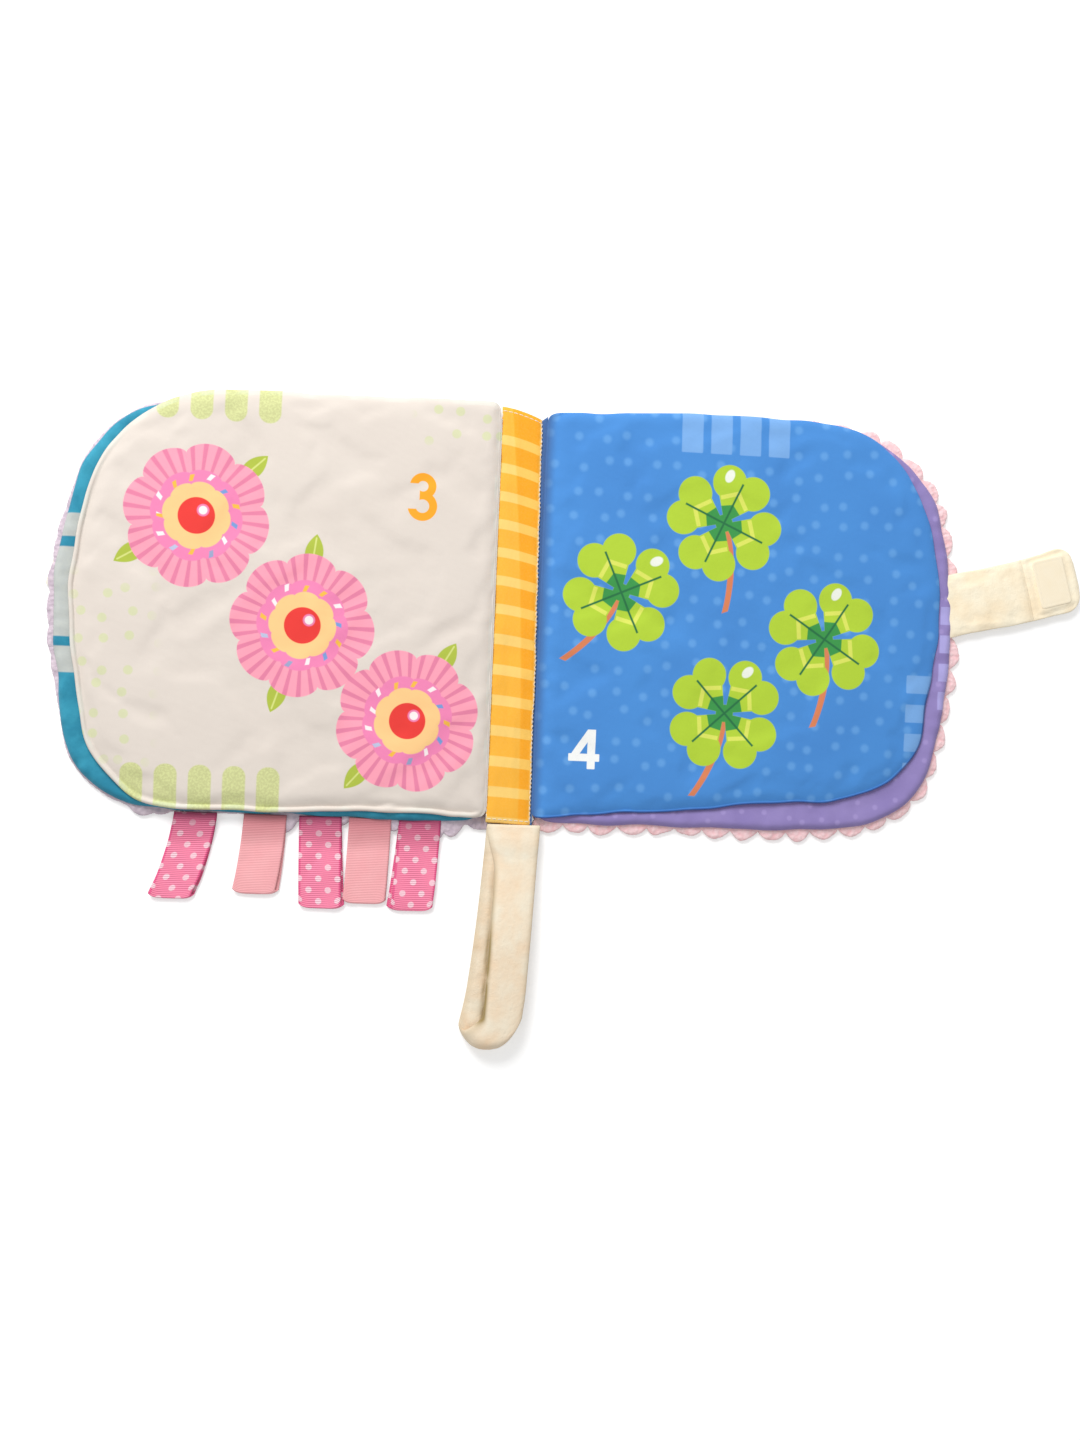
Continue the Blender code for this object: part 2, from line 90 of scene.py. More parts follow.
def rimOf(points, side, soften, count=1080, dents=(), hold=4.0 * mm):
    # the hull of the points seen from above, evenly spaced and softened by a Gaussian along
    # its length. It runs anticlockwise from the foot of the root; the left side is mirrored.
    # Each dent, given by x, y, width and depth in millimetres, draws it in by a Gaussian that
    # fades out over the last stretch before the root
    plan = points[:, :2] * (side, 1)
    hull = plan[geometry.convex_hull_2d([tuple(point) for point in plan])]
    ahead = np.roll(hull, -1, axis=0)
    if (hull[:, 0] * ahead[:, 1] - hull[:, 1] * ahead[:, 0]).sum() < 0:
        hull = hull[::-1]
    hull = np.roll(hull, -np.argmin(hull.sum(axis=1)), axis=0)
    closed = np.vstack((hull, hull[:1]))
    along = lengthsOf(closed)
    curve = pointsAt(np.linspace(0, along[-1], count, endpoint=False), along, closed) @ (1, 1j)
    waves = 2 * np.pi * np.fft.fftfreq(count, along[-1] / count)
    curve = np.fft.ifft(np.fft.fft(curve) * np.exp(-(waves * soften) ** 2 / 2))
    rim = np.column_stack((curve.real, curve.imag))
    drawn = np.zeros(count)
    for x, y, width, depth in dents:
        away = np.hypot(rim[:, 0] - side * x * mm, rim[:, 1] - y * mm)
        drawn += depth * mm * hump(away, width * mm)
    return pushedOut(rim, -drawn * ramp(0, hold, rim[:, 0] - rim[:, 0].min()))


def rimFrame(rim):
    # how far along the rim each point lies, with its unit tangent and outward normal
    tangent = np.roll(rim, -1, axis=0) - np.roll(rim, 1, axis=0)
    tangent /= np.linalg.norm(tangent, axis=1)[:, None]
    step = np.linalg.norm(np.roll(rim, -1, axis=0) - rim, axis=1)
    along = np.concatenate(([0], np.cumsum(step)[:-1]))
    return along, tangent, np.column_stack((tangent[:, 1], -tangent[:, 0]))


def pushedOut(rim, distance):
    # the rim moved along its outward normal
    return rim + rimFrame(rim)[2] * np.asarray(distance).reshape(-1, 1)


def places(length, fine, band, coarse):
    # shares of a side: fine steps within the band at each end, coarse ones between
    ends = np.full(max(1, round(band / fine)), fine)
    middle = length - 2 * ends.sum()
    count = max(1, round(middle / coarse))
    steps = np.concatenate((ends, np.full(count, middle / count), ends))
    return np.concatenate(([0], np.cumsum(steps))) / steps.sum()


def sideAt(points, shares):
    # points at these shares of one side of the rim
    return pointsAt(shares, np.linspace(0, 1, len(points)), points)


def clothGrid(rim, fine, band, coarse):
    # Coons patch over the rim: facing sides blended linearly, less the bilinear blend of the
    # corners. Returns x and y, with a row for each place up and a column for each place across
    foreFoot = int(np.argmax(rim @ (1, -1)))
    foreTop = int(np.argmax(rim @ (1, 1)))
    rootTop = int(np.argmax(rim @ (-1, 1)))
    closed = np.vstack((rim, rim[:1]))
    across = places(np.ptp(rim[:, 0]), fine, band, coarse)
    up = places(np.ptp(rim[:, 1]), fine, band, coarse)
    foot = sideAt(closed[:foreFoot + 1], across)
    fore = sideAt(closed[foreFoot:foreTop + 1], up)
    top = sideAt(closed[foreTop:rootTop + 1][::-1], across)
    root = sideAt(closed[rootTop:][::-1], up)
    u, v = across[None, :, None], up[:, None, None]
    ruled = (1 - v) * foot[None] + v * top[None] + (1 - u) * root[:, None] + u * fore[:, None]
    corners = ((1 - u) * (1 - v) * foot[0] + u * (1 - v) * foot[-1]
               + (1 - u) * v * top[0] + u * v * top[-1])
    grid = ruled - corners
    return grid[..., 0], grid[..., 1], across, up


def rimDistance(x, y, rim):
    # how deep inside the rim each grid point lies, and how far along the rim its nearest point is
    along, tangent, normal = (part[::3] for part in rimFrame(rim))
    knots = rim[::3]
    place = np.column_stack((x.ravel(), y.ravel()))
    squared = (place ** 2).sum(1)[:, None] + (knots ** 2).sum(1) - 2 * place @ knots.T
    nearest = squared.argmin(axis=1)
    offset = place - knots[nearest]
    depth = np.maximum(-(offset * normal[nearest]).sum(1), 0)
    beside = along[nearest] + (offset * tangent[nearest]).sum(1)
    return depth.reshape(x.shape), beside.reshape(x.shape)


def ramp(low, high, value):
    # smooth step from 0 at low to 1 at high
    share = np.clip((value - low) / (high - low), 0, 1)
    return share * share * (3 - 2 * share)


def ripples(x, y, wavelength, seed, count=14):
    # a sum of plane waves near one wavelength, in seeded directions and phases, about -1 to 1
    dice = np.random.default_rng(seed)
    turn = dice.uniform(0, 2 * np.pi, count)
    size = wavelength * dice.uniform(0.55, 1.45, count)
    phase = dice.uniform(0, 2 * np.pi, count)
    total = np.zeros(np.broadcast(x, y).shape)
    for angle, length, start in zip(turn, size, phase):
        total += np.sin(2 * np.pi * (x * np.cos(angle) + y * np.sin(angle)) / length + start)
    return total / math.sqrt(2 * count)


def quadsOf(rows, columns, wrapColumns=False):
    # the four corners of every face of a grid of points
    index = np.arange(rows * columns).reshape(rows, columns)
    if wrapColumns:
        index = np.hstack((index, index[:, :1]))
    quads = (index[:-1, :-1], index[:-1, 1:], index[1:, 1:], index[1:, :-1])
    return np.stack(quads, axis=-1).reshape(-1, 4)


def newPiece(name, points, faces, material, marks):
    # a mesh object with its place in its mesh; marks are point attributes of three numbers
    mesh = bpy.data.meshes.new(name)
    mesh.from_pydata(points.reshape(-1, 3), [], faces)
    for label, values in marks.items():
        layer = mesh.attributes.new(label, "FLOAT_VECTOR", "POINT")
        layer.data.foreach_set("vector", np.ascontiguousarray(values, np.float32).ravel())
    mesh.shade_smooth()
    mesh.materials.append(material)
    piece = bpy.data.objects.new(name, mesh)
    bpy.context.scene.collection.objects.link(piece)
    return piece


def marksOf(x, y, beside=None, depth=None):
    # where the cloth lies when flat, and where it is from its own edge
    marks = {"flatPlace": np.stack((x, y, np.zeros_like(x)), axis=-1)}
    if depth is not None:
        marks["edgePlace"] = np.stack((beside, depth, np.zeros_like(x)), axis=-1)
    return marks


def sheetPiece(name, side, grid, heights, thick, material, marks):
    # the grid's upper face at these heights, with a wall of cloth below it
    x, y = grid
    rows, columns = x.shape
    faces = quadsOf(rows, columns)
    if side < 0:
        faces = faces[:, ::-1]
    points = np.stack((x * side, y, heights), axis=-1)
    piece = newPiece(name, points, faces.tolist(), material, marks)
    wall = piece.modifiers.new("cloth", "SOLIDIFY")
    wall.thickness = thick
    wall.offset = -1
    return piece


def tubePiece(name, rings, material, marks):
    # closed rings one after another, with a cap on each end
    rows, columns = rings.shape[:2]
    faces = quadsOf(rows, columns, wrapColumns=True).tolist()
    faces.append(list(range(columns))[::-1])
    faces.append(list(range((rows - 1) * columns, rows * columns)))
    piece = newPiece(name, rings, faces, material, marks)
    shape = piece.data
    volume = sum(
        tri.area * tri.normal.dot(shape.vertices[tri.vertices[0]].co) for tri in shape.polygons
    )
    if volume < 0:
        shape.flip_normals()
    return piece


def softWave(value, power):
    # the value's size to a power, with its sign kept
    return np.sign(value) * np.abs(value) ** power


def softProfile(width, thick, square, count):
    # a superellipse: half the width times cos, half the thickness times sin, each to a power
    turn = np.linspace(0, 2 * np.pi, count, endpoint=False)
    across = softWave(np.cos(turn), square) * width / 2
    return across, softWave(np.sin(turn), square) * thick / 2


class Ink:
    # a number or place inside a material that adds, multiplies and compares like a plain one

    def __init__(self, tree, socket):
        self.tree = tree
        self.socket = socket

    def math(self, operation, *others):
        node = self.tree.nodes.new("ShaderNodeMath")
        node.operation = operation
        for slot, value in zip(node.inputs, (self, *others)):
            feed(self.tree, slot, value)
        return Ink(self.tree, node.outputs[0])

    def __add__(self, other):
        return self.math("ADD", other)

    def __sub__(self, other):
        return self.math("SUBTRACT", other)

    def __mul__(self, other):
        return self.math("MULTIPLY", other)

    def __truediv__(self, other):
        return self.math("DIVIDE", other)

    def __abs__(self):
        return self.math("ABSOLUTE")

    def least(self, other):
        return self.math("MINIMUM", other)

    def most(self, other):
        return self.math("MAXIMUM", other)

    def wave(self, length, start=0.0):
        # a sine of this length
        return ((self + start) * (2 * math.pi / length)).math("SINE")

    def near(self, pitch, offset=0.0):
        # the signed distance to the nearest of evenly spaced lines
        return (self - offset).math("WRAP", pitch / 2, -pitch / 2)

    def below(self, edge, blur):
        # 1 below the edge and 0 above it, with a soft change
        node = self.tree.nodes.new("ShaderNodeMapRange")
        node.interpolation_type = "SMOOTHSTEP"
        feed(self.tree, node.inputs["Value"], self)
        for label, value in (("From Min", edge - blur), ("From Max", edge + blur),
                             ("To Min", 1), ("To Max", 0)):
            feed(self.tree, node.inputs[label], value)
        return Ink(self.tree, node.outputs["Result"])


def feed(tree, slot, value):
    # another node's output is linked to the slot, and a plain value is set in it
    if isinstance(value, Ink):
        tree.links.new(value.socket, slot)
    else:
        slot.default_value = value


def colour(red, green, blue):
    # screen colour, 0 to 255, to the linear colour that a material takes
    def linear(level):
        share = level / 255
        return share / 12.92 if share <= 0.04045 else ((share + 0.055) / 1.055) ** 2.4
    return (linear(red), linear(green), linear(blue), 1.0)


class Cloth:
    # one material: its places in millimetres, its noises, its colour mixes and its finish

    def __init__(self, name):
        self.material = bpy.data.materials.new(name)
        self.material.use_nodes = True
        self.tree = self.material.node_tree
        self.shader = self.tree.nodes["Principled BSDF"]
        self.place = self.mark("flatPlace")
        self.x, self.y = self.parts(self.place)[:2]
        self.tint = None

    def mark(self, label):
        # a point attribute of the mesh, from metres to millimetres
        node = self.tree.nodes.new("ShaderNodeAttribute")
        node.attribute_name = label
        scale = self.tree.nodes.new("ShaderNodeVectorMath")
        scale.operation = "SCALE"
        scale.inputs["Scale"].default_value = 1 / mm
        self.tree.links.new(node.outputs["Vector"], scale.inputs[0])
        return Ink(self.tree, scale.outputs[0])

    def parts(self, place):
        node = self.tree.nodes.new("ShaderNodeSeparateXYZ")
        feed(self.tree, node.inputs[0], place)
        return [Ink(self.tree, output) for output in node.outputs]

    def noise(self, size, detail=2.0, rough=0.5):
        # clouds whose lumps are about this many millimetres across, 0 to 1
        node = self.tree.nodes.new("ShaderNodeTexNoise")
        feed(self.tree, node.inputs["Vector"], self.place)
        node.inputs["Scale"].default_value = 1 / size
        node.inputs["Detail"].default_value = detail
        node.inputs["Roughness"].default_value = rough
        return Ink(self.tree, node.outputs["Fac"])

    def cells(self, size, feature="F1", scatter=1.0, solid=False):
        # distance to scattered points about this many millimetres apart, in shares of that
        node = self.tree.nodes.new("ShaderNodeTexVoronoi")
        node.voronoi_dimensions = "3D" if solid else "2D"
        node.feature = feature
        feed(self.tree, node.inputs["Vector"], self.place)
        node.inputs["Scale"].default_value = 1 / size
        node.inputs["Randomness"].default_value = scatter
        return Ink(self.tree, node.outputs["Distance"])

    def mix(self, share, under, over):
        # from the colour under to the colour over by a share
        node = self.tree.nodes.new("ShaderNodeMix")
        node.data_type = "RGBA"
        feed(self.tree, node.inputs["Factor"], share)
        feed(self.tree, node.inputs[6], under)
        feed(self.tree, node.inputs[7], over)
        return Ink(self.tree, node.outputs[2])

    def ground(self, share, deep, bright):
        # the first tint: two screen colours, mixed by a share
        self.tint = self.mix(share, colour(*deep), colour(*bright))

    def lay(self, share, *screen):
        # a screen colour laid over the tint by a share
        self.tint = self.mix(share, self.tint, colour(*screen))

    def fill(self, distance, *screen, blur=0.3):
        # a screen colour where a signed distance in millimetres is below zero
        self.lay(distance.below(0, blur), *screen)

    def finish(self, relief, rough=0.85, sheen=0.0, fuzz=0.5, gloss=0.5):
        # the tint and a bump height in millimetres to the shader; the rest are plain values
        bump = self.tree.nodes.new("ShaderNodeBump")
        bump.inputs["Distance"].default_value = mm
        bump.inputs["Strength"].default_value = 1.0
        feed(self.tree, bump.inputs["Height"], relief)
        self.tree.links.new(bump.outputs["Normal"], self.shader.inputs["Normal"])
        feed(self.tree, self.shader.inputs["Base Color"], self.tint)
        self.shader.inputs["Roughness"].default_value = rough
        self.shader.inputs["Specular IOR Level"].default_value = gloss
        self.shader.inputs["Sheen Weight"].default_value = sheen
        self.shader.inputs["Sheen Roughness"].default_value = fuzz
        return self.material

    def weave(self, pitch=0.42, depth=0.02):
        # plain weave: two crossing sine waves of thread, in millimetres
        return (self.x.wave(pitch) + self.y.wave(pitch)) * depth


def boxDepth(x, y, middleX, middleY, halfX, halfY, corner):
    # signed distance to a rounded box: below zero inside
    outX = (abs(x - middleX) - (halfX - corner)).most(0.0)
    outY = (abs(y - middleY) - (halfY - corner)).most(0.0)
    return (outX * outX + outY * outY).math("SQRT") - corner


def barRow(along, inward, pitch, first, box, middle, half, blur, rowBlur):
    # evenly spaced rounded bars that stand on an edge, kept to one stretch of that edge
    bars = boxDepth(along.near(pitch, first), inward, 0, *box)
    return bars.below(0, blur) * (abs(along - middle) - half).below(0, rowBlur)


def creamPrint(name, printed):
    # off-white cotton: pale tongue-shaped bars at the edges and loose dots. The printed side
    # also has large blossoms and a 3
    cloth = Cloth(name)
    x, y = cloth.x, cloth.y
    cloth.ground(cloth.noise(38, 3.0), (221, 210, 200), (229, 219, 209))
    top = barRow(x, y, 15.8, -167.3, (104, 5.2, 19, 5.0), -143.6, 31.0, 0.35, 0.3)
    foot = barRow(x, y, 15.8, -177.2, (-98, 5.3, 21.6, 5.0), -145.6, 39.0, 0.35, 0.3)
    speckle = cloth.noise(1.1, 2.0).below(0.52, 0.12)
    green = cloth.mix(speckle, colour(216, 221, 156), colour(203, 206, 146))
    patch = (abs(x + 190) - 18).most(abs(y + 34) - 42).below(0, 8)
    corner = (abs(x + 28) - 22).most(abs(y - 93) - 13).below(0, 5)
    dots = cloth.cells(11.5, scatter=0.55).below(0.19, 0.03) * patch.most(corner)
    cloth.lay(dots * 0.85, 214, 218, 172)
    cloth.tint = cloth.mix(top.most(foot), cloth.tint, green)
    if printed:
        blossoms(cloth)
        cloth.lay(digitThree(x + 47, y - 55), 252, 168, 30)
    hem = cloth.parts(cloth.mark("edgePlace"))
    rolled = (hem[1] - 2.5).below(0, 0.2) * cloth.noise(14, 2.0).below(0.5, 0.1)
    cloth.lay(rolled * 0.25, 222, 238, 228)
    return cloth.finish(cloth.weave() + cloth.noise(5, 3.0) * 0.12, rough=0.82, sheen=0.05)


def digitThree(x, y):
    # two rings one above the other, open on the left: middle, radius, side and start of each gap
    rings = []
    for middle, radius, toward, gap in ((4.6, 4.4, 1, -1.2), (-4.9, 5.1, -1, -1.4)):
        up = y - middle
        ring = abs((x * x + up * up).math("SQRT") - radius).below(1.9, 0.15)
        kept = (x + 1.5).most(up * toward + gap)
        rings.append(ring * (kept * -1.0).below(0, 0.15))
    return rings[0].most(rings[1])


def digitFour(x, y):
    # an upright, a crossbar and a slanting stroke
    upright = boxDepth(x, y, 2.6, 0, 1.9, 9.5, 0.4)
    crossbar = boxDepth(x, y, -0.9, -4.0, 7.5, 1.8, 0.4)
    slant = (abs(x * 0.838 - y * 0.546 + 2.97) - 1.7).most(x - 4.5).most(abs(y - 2.5) - 7.0)
    return upright.least(crossbar).least(slant).below(0, 0.15)


blossomLook = {
    "middles": ((-152, 40, 0.2), (-101, -9, 0.9), (-50, -52, 0.5)),   # x, y and turn of each
    "petals": 8, "reach": 34.0, "dip": 4.6, "ring": 14.5, "heart": 8.6,
    "crown": 21.5, "crumbs": 13, "crumbPlace": 18.0,
}


def blossoms(cloth):
    # round flowers: the petal edge is a circle that dips between the petals. Inside it lie a
    # rose crown with coloured crumbs, a peach ring and a red heart; a leaf stands at each side
    look = blossomLook
    for middleX, middleY, turn in look["middles"]:
        x, y = cloth.x - middleX, cloth.y - middleY
        for leafTurn in (turn + 0.55, turn + 3.5):
            cosine, sine = math.cos(leafTurn), math.sin(leafTurn)
            along = x * cosine + y * sine - 34.5
            aside = y * cosine - x * sine
            blade = abs(aside) + (along * along) * 0.052 - 4.3
            cloth.fill(blade, 176, 192, 66)
            cloth.fill((abs(aside) - 0.4).most(blade + 1.2), 214, 222, 128, blur=0.2)
        away = (x * x + y * y).math("SQRT")
        angle = y.math("ARCTAN2", x) + turn
        lobe = abs((angle * (look["petals"] / 2)).math("COSINE")).math("POWER", 0.5)
        edge = away - (lobe * look["dip"] + (look["reach"] - look["dip"]))
        rays = (angle * (look["petals"] * 4)).math("COSINE").below(-0.45, 0.25)
        petal = cloth.mix(rays, colour(255, 163, 184), colour(231, 130, 164))
        cloth.tint = cloth.mix(edge.below(0, 0.25), cloth.tint, petal)
        cloth.fill(away - (lobe * 1.8 + (look["crown"] - 1.8)), 243, 134, 182, blur=0.25)
        sector = 2 * math.pi / look["crumbs"]
        number = (angle / sector).math("ROUND")
        aside = (angle - number * sector) * look["crumbPlace"]
        outward = away - look["crumbPlace"] - number.wave(2.6) * 1.2
        crumb = (abs(aside + outward * 0.4) - 1.0).most(abs(outward) - 1.5)
        hue = number.wave(3.7)
        crumbTint = cloth.mix(hue.below(0.3, 0.1), colour(248, 190, 70), colour(120, 156, 214))
        crumbTint = cloth.mix(hue.below(-0.5, 0.1), crumbTint, colour(252, 240, 240))
        cloth.tint = cloth.mix(crumb.below(0, 0.25), cloth.tint, crumbTint)
        cloth.fill(away - (lobe * 1.4 + look["ring"]), 255, 206, 140, blur=0.25)
        cloth.fill(away - look["heart"], 236, 56, 50, blur=0.25)
        shine = ((x - 3) * (x - 3) + (y - 2.6) * (y - 2.6)).math("SQRT")
        cloth.fill(shine - 2.9, 240, 130, 176, blur=0.25)
        cloth.fill(shine - 2.0, 250, 240, 238, blur=0.25)


cloverLook = {
    "middles": ((50, 14, 0.42), (99, 50, 1.15), (151, -4, 1.0), (103, -42, 0.75)),
    "out": 19.0, "aside": 6.4, "lobe": 8.3, "stem": 41.0,
}


def clovers(cloth):
    # four heart-shaped leaves about a middle: each is two circles and a wedge, with a pale
    # chevron, a dark heart and a vein, over a curved stem that runs out between two leaves
    look = cloverLook
    for middleX, middleY, turn in look["middles"]:
        cosine, sine = math.cos(turn), math.sin(turn)
        x0, y0 = cloth.x - middleX, cloth.y - middleY
        x = x0 * cosine + y0 * sine
        y = y0 * cosine - x0 * sine
        down = (x + y) * -0.7071
        bent = (x - y) * 0.7071 + down * down * 0.008
        cloth.fill((abs(bent) - 1.6).most(down - look["stem"]).most(down * -1.0), 219, 128, 84)
        along = abs(x).most(abs(y))
        beside = abs(x).least(abs(y))
        outward = along - look["out"]
        sideways = beside - look["aside"]
        circle = (outward * outward + sideways * sideways).math("SQRT") - look["lobe"]
        wedge = (beside - along * 0.76 + 0.2).most(outward)
        disc = (x * x + y * y).math("SQRT") - 4.2
        leaf = circle.least(wedge).least(disc)
        cloth.fill(leaf, 180, 212, 50)
        chevron = abs(along + beside * 0.8 - 16.0) - 1.3
        cloth.fill(chevron.most(leaf + 0.8), 222, 230, 96)
        cloth.fill((along + beside * 0.6 - 10.0).most(leaf), 52, 150, 70)
        cloth.fill((beside - 0.5).most(along - 21), 24, 110, 62)
        shineX = x - look["out"] - 2.6
        shineY = y - look["aside"] - 1.2
        shine = (shineX * shineX * 0.45 + shineY * shineY).math("SQRT") - 2.2
        cloth.fill(shine, 240, 244, 232)


def bluePrint(name, printed):
    # bright blue cotton: soft lighter dots and pale bars at two edges. The printed side also
    # has lime clovers and a 4
    cloth = Cloth(name)
    x, y = cloth.x, cloth.y
    cloth.ground(cloth.noise(45, 2.0), (62, 130, 204), (74, 149, 224))
    cloth.lay(cloth.cells(12.0, scatter=0.5).below(0.16, 0.09) * 0.38, 122, 184, 242)
    top = barRow(x, y, 14.3, 81.8, (103, 5.2, 19.8, 0.6), 103.3, 28.6, 0.3, 0.2)
    fore = barRow(y, x, 14.3, -24.0, (212, 4.4, 18.8, 0.6), -45.5, 28.6, 0.3, 0.2)
    cloth.lay(top.most(fore) * 0.85, 126, 176, 232)
    if printed:
        clovers(cloth)
        cloth.lay(digitFour(x - 36, y + 62), 246, 248, 246)
    hem = cloth.parts(cloth.mark("edgePlace"))
    # a dark navy line along the rim's foot, within about a millimetre of the edge: the seam,
    # deepened with painted shade
    seam = (hem[1] - 0.9).below(0, 0.3) * (hem[0] - 232).below(0, 12)
    cloth.lay(seam * 0.75, 36, 62, 136)
    # painted shade: within a few millimetres of its root the cloth turns a darker grey blue, where
    # it dips into the gutter beside the strip
    gutter = (x - 13.4).below(0, 3.6) * (cloth.noise(12) * 0.3 + 0.68)
    cloth.lay(gutter, 66, 92, 142)
    return cloth.finish(cloth.weave() + cloth.noise(4, 3.0) * 0.1, rough=0.78, sheen=0.04)


def turquoiseCotton():
    # mottled cotton with grey bars near its fore-edge, each given by its middle and half width
    cloth = Cloth("turquoise_cotton")
    cloth.ground(cloth.noise(16, 4.0, 0.6).below(0.52, 0.16), (50, 156, 184), (28, 132, 162))
    grey = cloth.mix(cloth.noise(3.0, 2.0), colour(184, 190, 190), colour(198, 202, 194))
    outer = (abs(cloth.x + 214) - 14).below(0, 0.5)
    for middle, half in ((33.1, 5.4), (1.9, 20.9), (-29.6, 6.1)):
        bar = (abs(cloth.y - middle) - half).below(0, 0.4)
        cloth.tint = cloth.mix(bar * outer, cloth.tint, grey)
    return cloth.finish(cloth.weave() + cloth.noise(6, 3.0) * 0.18, rough=0.8, sheen=0.05)


def purpleCotton():
    # cotton with soft dots all over and a column of pale bars at its fore-edge
    cloth = Cloth("purple_cotton")
    cloth.ground(cloth.noise(18, 3.0), (132, 116, 178), (160, 144, 202))
    cloth.lay(cloth.cells(9.5, scatter=0.6).below(0.13, 0.06) * 0.4, 182, 164, 222)
    bars = (abs(cloth.y.near(14.0, 10.6)) - 4.4).below(0, 0.3)
    inRow = (abs(cloth.y + 10.4) - 28.0).below(0, 0.3) * (abs(cloth.x - 216) - 6.0).below(0, 0.3)
    cloth.lay(bars * inRow, 176, 168, 226)
    return cloth.finish(cloth.weave() + cloth.noise(6, 3.0) * 0.15, rough=0.8, sheen=0.05)


def ginghamCotton():
    # bands across the strip: a light one of a third of the pitch and a dark one of two thirds,
    # set wider apart in the lower half. The side right of a curve is darker, and the edge paler
    cloth = Cloth("orange_gingham")
    x, y = cloth.x, cloth.y
    evened = y.most(3.75) + (y.least(3.75) - 3.75) * 0.921
    light = (abs(evened.near(13.45, 3.75)) - 2.3).below(0, 0.25) * (y - 92).below(0, 0.3)
    fromFoot = y + 99
    column = (x * -1.0 + 4.7 - fromFoot * fromFoot * 0.00026).below(0, 0.6)
    dark = cloth.mix(column, colour(255, 184, 52), colour(253, 168, 10))
    pale = cloth.mix(column, colour(255, 212, 116), colour(255, 202, 94))
    cloth.tint = cloth.mix(light, dark, pale)
    cloth.lay(cloth.noise(0.9, 2.0).below(0.45, 0.25) * 0.1, 255, 214, 130)
    edge = cloth.parts(cloth.mark("edgePlace"))[1]
    cloth.lay((edge - 1.0).below(0, 0.25) * 0.7, 255, 198, 96)
    return cloth.finish(cloth.weave(0.5, 0.03) + cloth.noise(3, 2.0) * 0.08, rough=0.8)


def plush(name, deep, bright, size, depth):
    # looped pile: lumps from scattered points, darker between them, and a fuzzy sheen
    cloth = Cloth(name)
    shadow = cloth.cells(size, "SMOOTH_F1", solid=True).below(0.55, 0.45)
    fibre = cloth.noise(size * 0.35, 3.0, 0.7)
    cloth.ground(shadow * 0.75 + fibre * 0.25, deep, bright)
    return cloth.finish(shadow * depth + fibre * (depth * 0.5), rough=0.95, sheen=0.35, fuzz=0.45,
                        gloss=0.2)


def fleece(name, deep, bright, foldShadeTint=None):
    # short brushed pile: fine fibres over soft broad patches, and painted shade in its folds where
    # a shade colour is given
    cloth = Cloth(name)
    brushed = cloth.noise(13, 3.0)
    fibre = cloth.noise(0.7, 3.0, 0.65)
    patches = (brushed - 0.5) * 2.2 + 0.35
    cloth.ground((patches + fibre * 0.3).most(0.0).least(1.0), deep, bright)
    if foldShadeTint:
        # painted shade, from the foldShade attribute
        cloth.lay(cloth.parts(cloth.mark("foldShade"))[0], *foldShadeTint)
    return cloth.finish(fibre * 0.2 + cloth.noise(2.6, 2.0) * 0.25 + brushed * 0.3, rough=0.95,
                        sheen=0.25, fuzz=0.4, gloss=0.2)


def dottedRibbon():
    # grosgrain: ribs across the width, and pale dots in staggered rows
    cloth = Cloth("dotted_ribbon")
    x, y = cloth.x, cloth.y
    ribs = y.wave(0.95)
    rows = []
    for startX, startY in ((-5.2, 0.0), (-0.6, 5.4)):
        aside, along = x.near(9.1, startX), y.near(10.8, startY)
        rows.append((aside * aside + along * along).math("SQRT"))
    dots = (rows[0].least(rows[1]) - 1.5).below(0, 0.18)
    body = cloth.mix(ribs * 0.25 + 0.5, colour(250, 116, 156), colour(255, 146, 178))
    cloth.tint = cloth.mix((abs(x) - 9.0).below(0, 0.2), colour(240, 92, 144), body)
    cloth.lay(dots, 255, 206, 218)
    # painted shade, darkest near the root where the book's edge shades the ribbon
    cloth.lay(cloth.parts(cloth.mark("foldShade"))[0], 150, 34, 84)
    return cloth.finish(ribs * 0.09 + dots * 0.05, rough=0.55, sheen=0.1)


def plainRibbon():
    # satin ribbon with faint ribs across its width
    cloth = Cloth("plain_ribbon")
    cloth.ground(cloth.noise(7, 2.0), (247, 167, 172), (250, 181, 184))
    # painted shade, darkest near the root where the book's edge shades the ribbon
    cloth.lay(cloth.parts(cloth.mark("foldShade"))[0], 180, 92, 104)
    relief = cloth.y.wave(0.8) * 0.05 + cloth.x.wave(0.4) * 0.01
    return cloth.finish(relief, rough=0.6, sheen=0.1)


def hookTape(name, deep, bright, pitch, depth):
    # touch fastener: rows of small hooks, where two crossing waves are both high or both low
    cloth = Cloth(name)
    cloth.ground(cloth.noise(6, 2.0), deep, bright)
    hooks = (cloth.x.wave(pitch) * cloth.y.wave(pitch)).most(0.0)
    return cloth.finish(hooks * depth, rough=0.8, sheen=0.15, gloss=0.3)


def thread(name, deep):
    # twisted thread: slanting waves of two tones
    cloth = Cloth(name)
    twist = (cloth.x + cloth.y).wave(0.5)
    cloth.ground(twist * 0.5 + 0.5, deep, (250, 246, 238))
    return cloth.finish(twist * 0.04, rough=0.6)


def filling():
    # white wadding of fine tangled fibres
    cloth = Cloth("white_wadding")
    fibre = cloth.noise(1.4, 5.0, 0.7)
    cloth.ground(fibre, (228, 228, 224), (250, 250, 248))
    return cloth.finish(fibre * 0.5, rough=0.95)


def crackleFilm():
    # pale film, creased along the borders between scattered points
    cloth = Cloth("crackling_film")
    creases = cloth.cells(7, "DISTANCE_TO_EDGE").below(0.06, 0.05)
    cloth.ground(creases, (214, 218, 222), (240, 242, 244))
    return cloth.finish(creases * 0.2, rough=0.25)


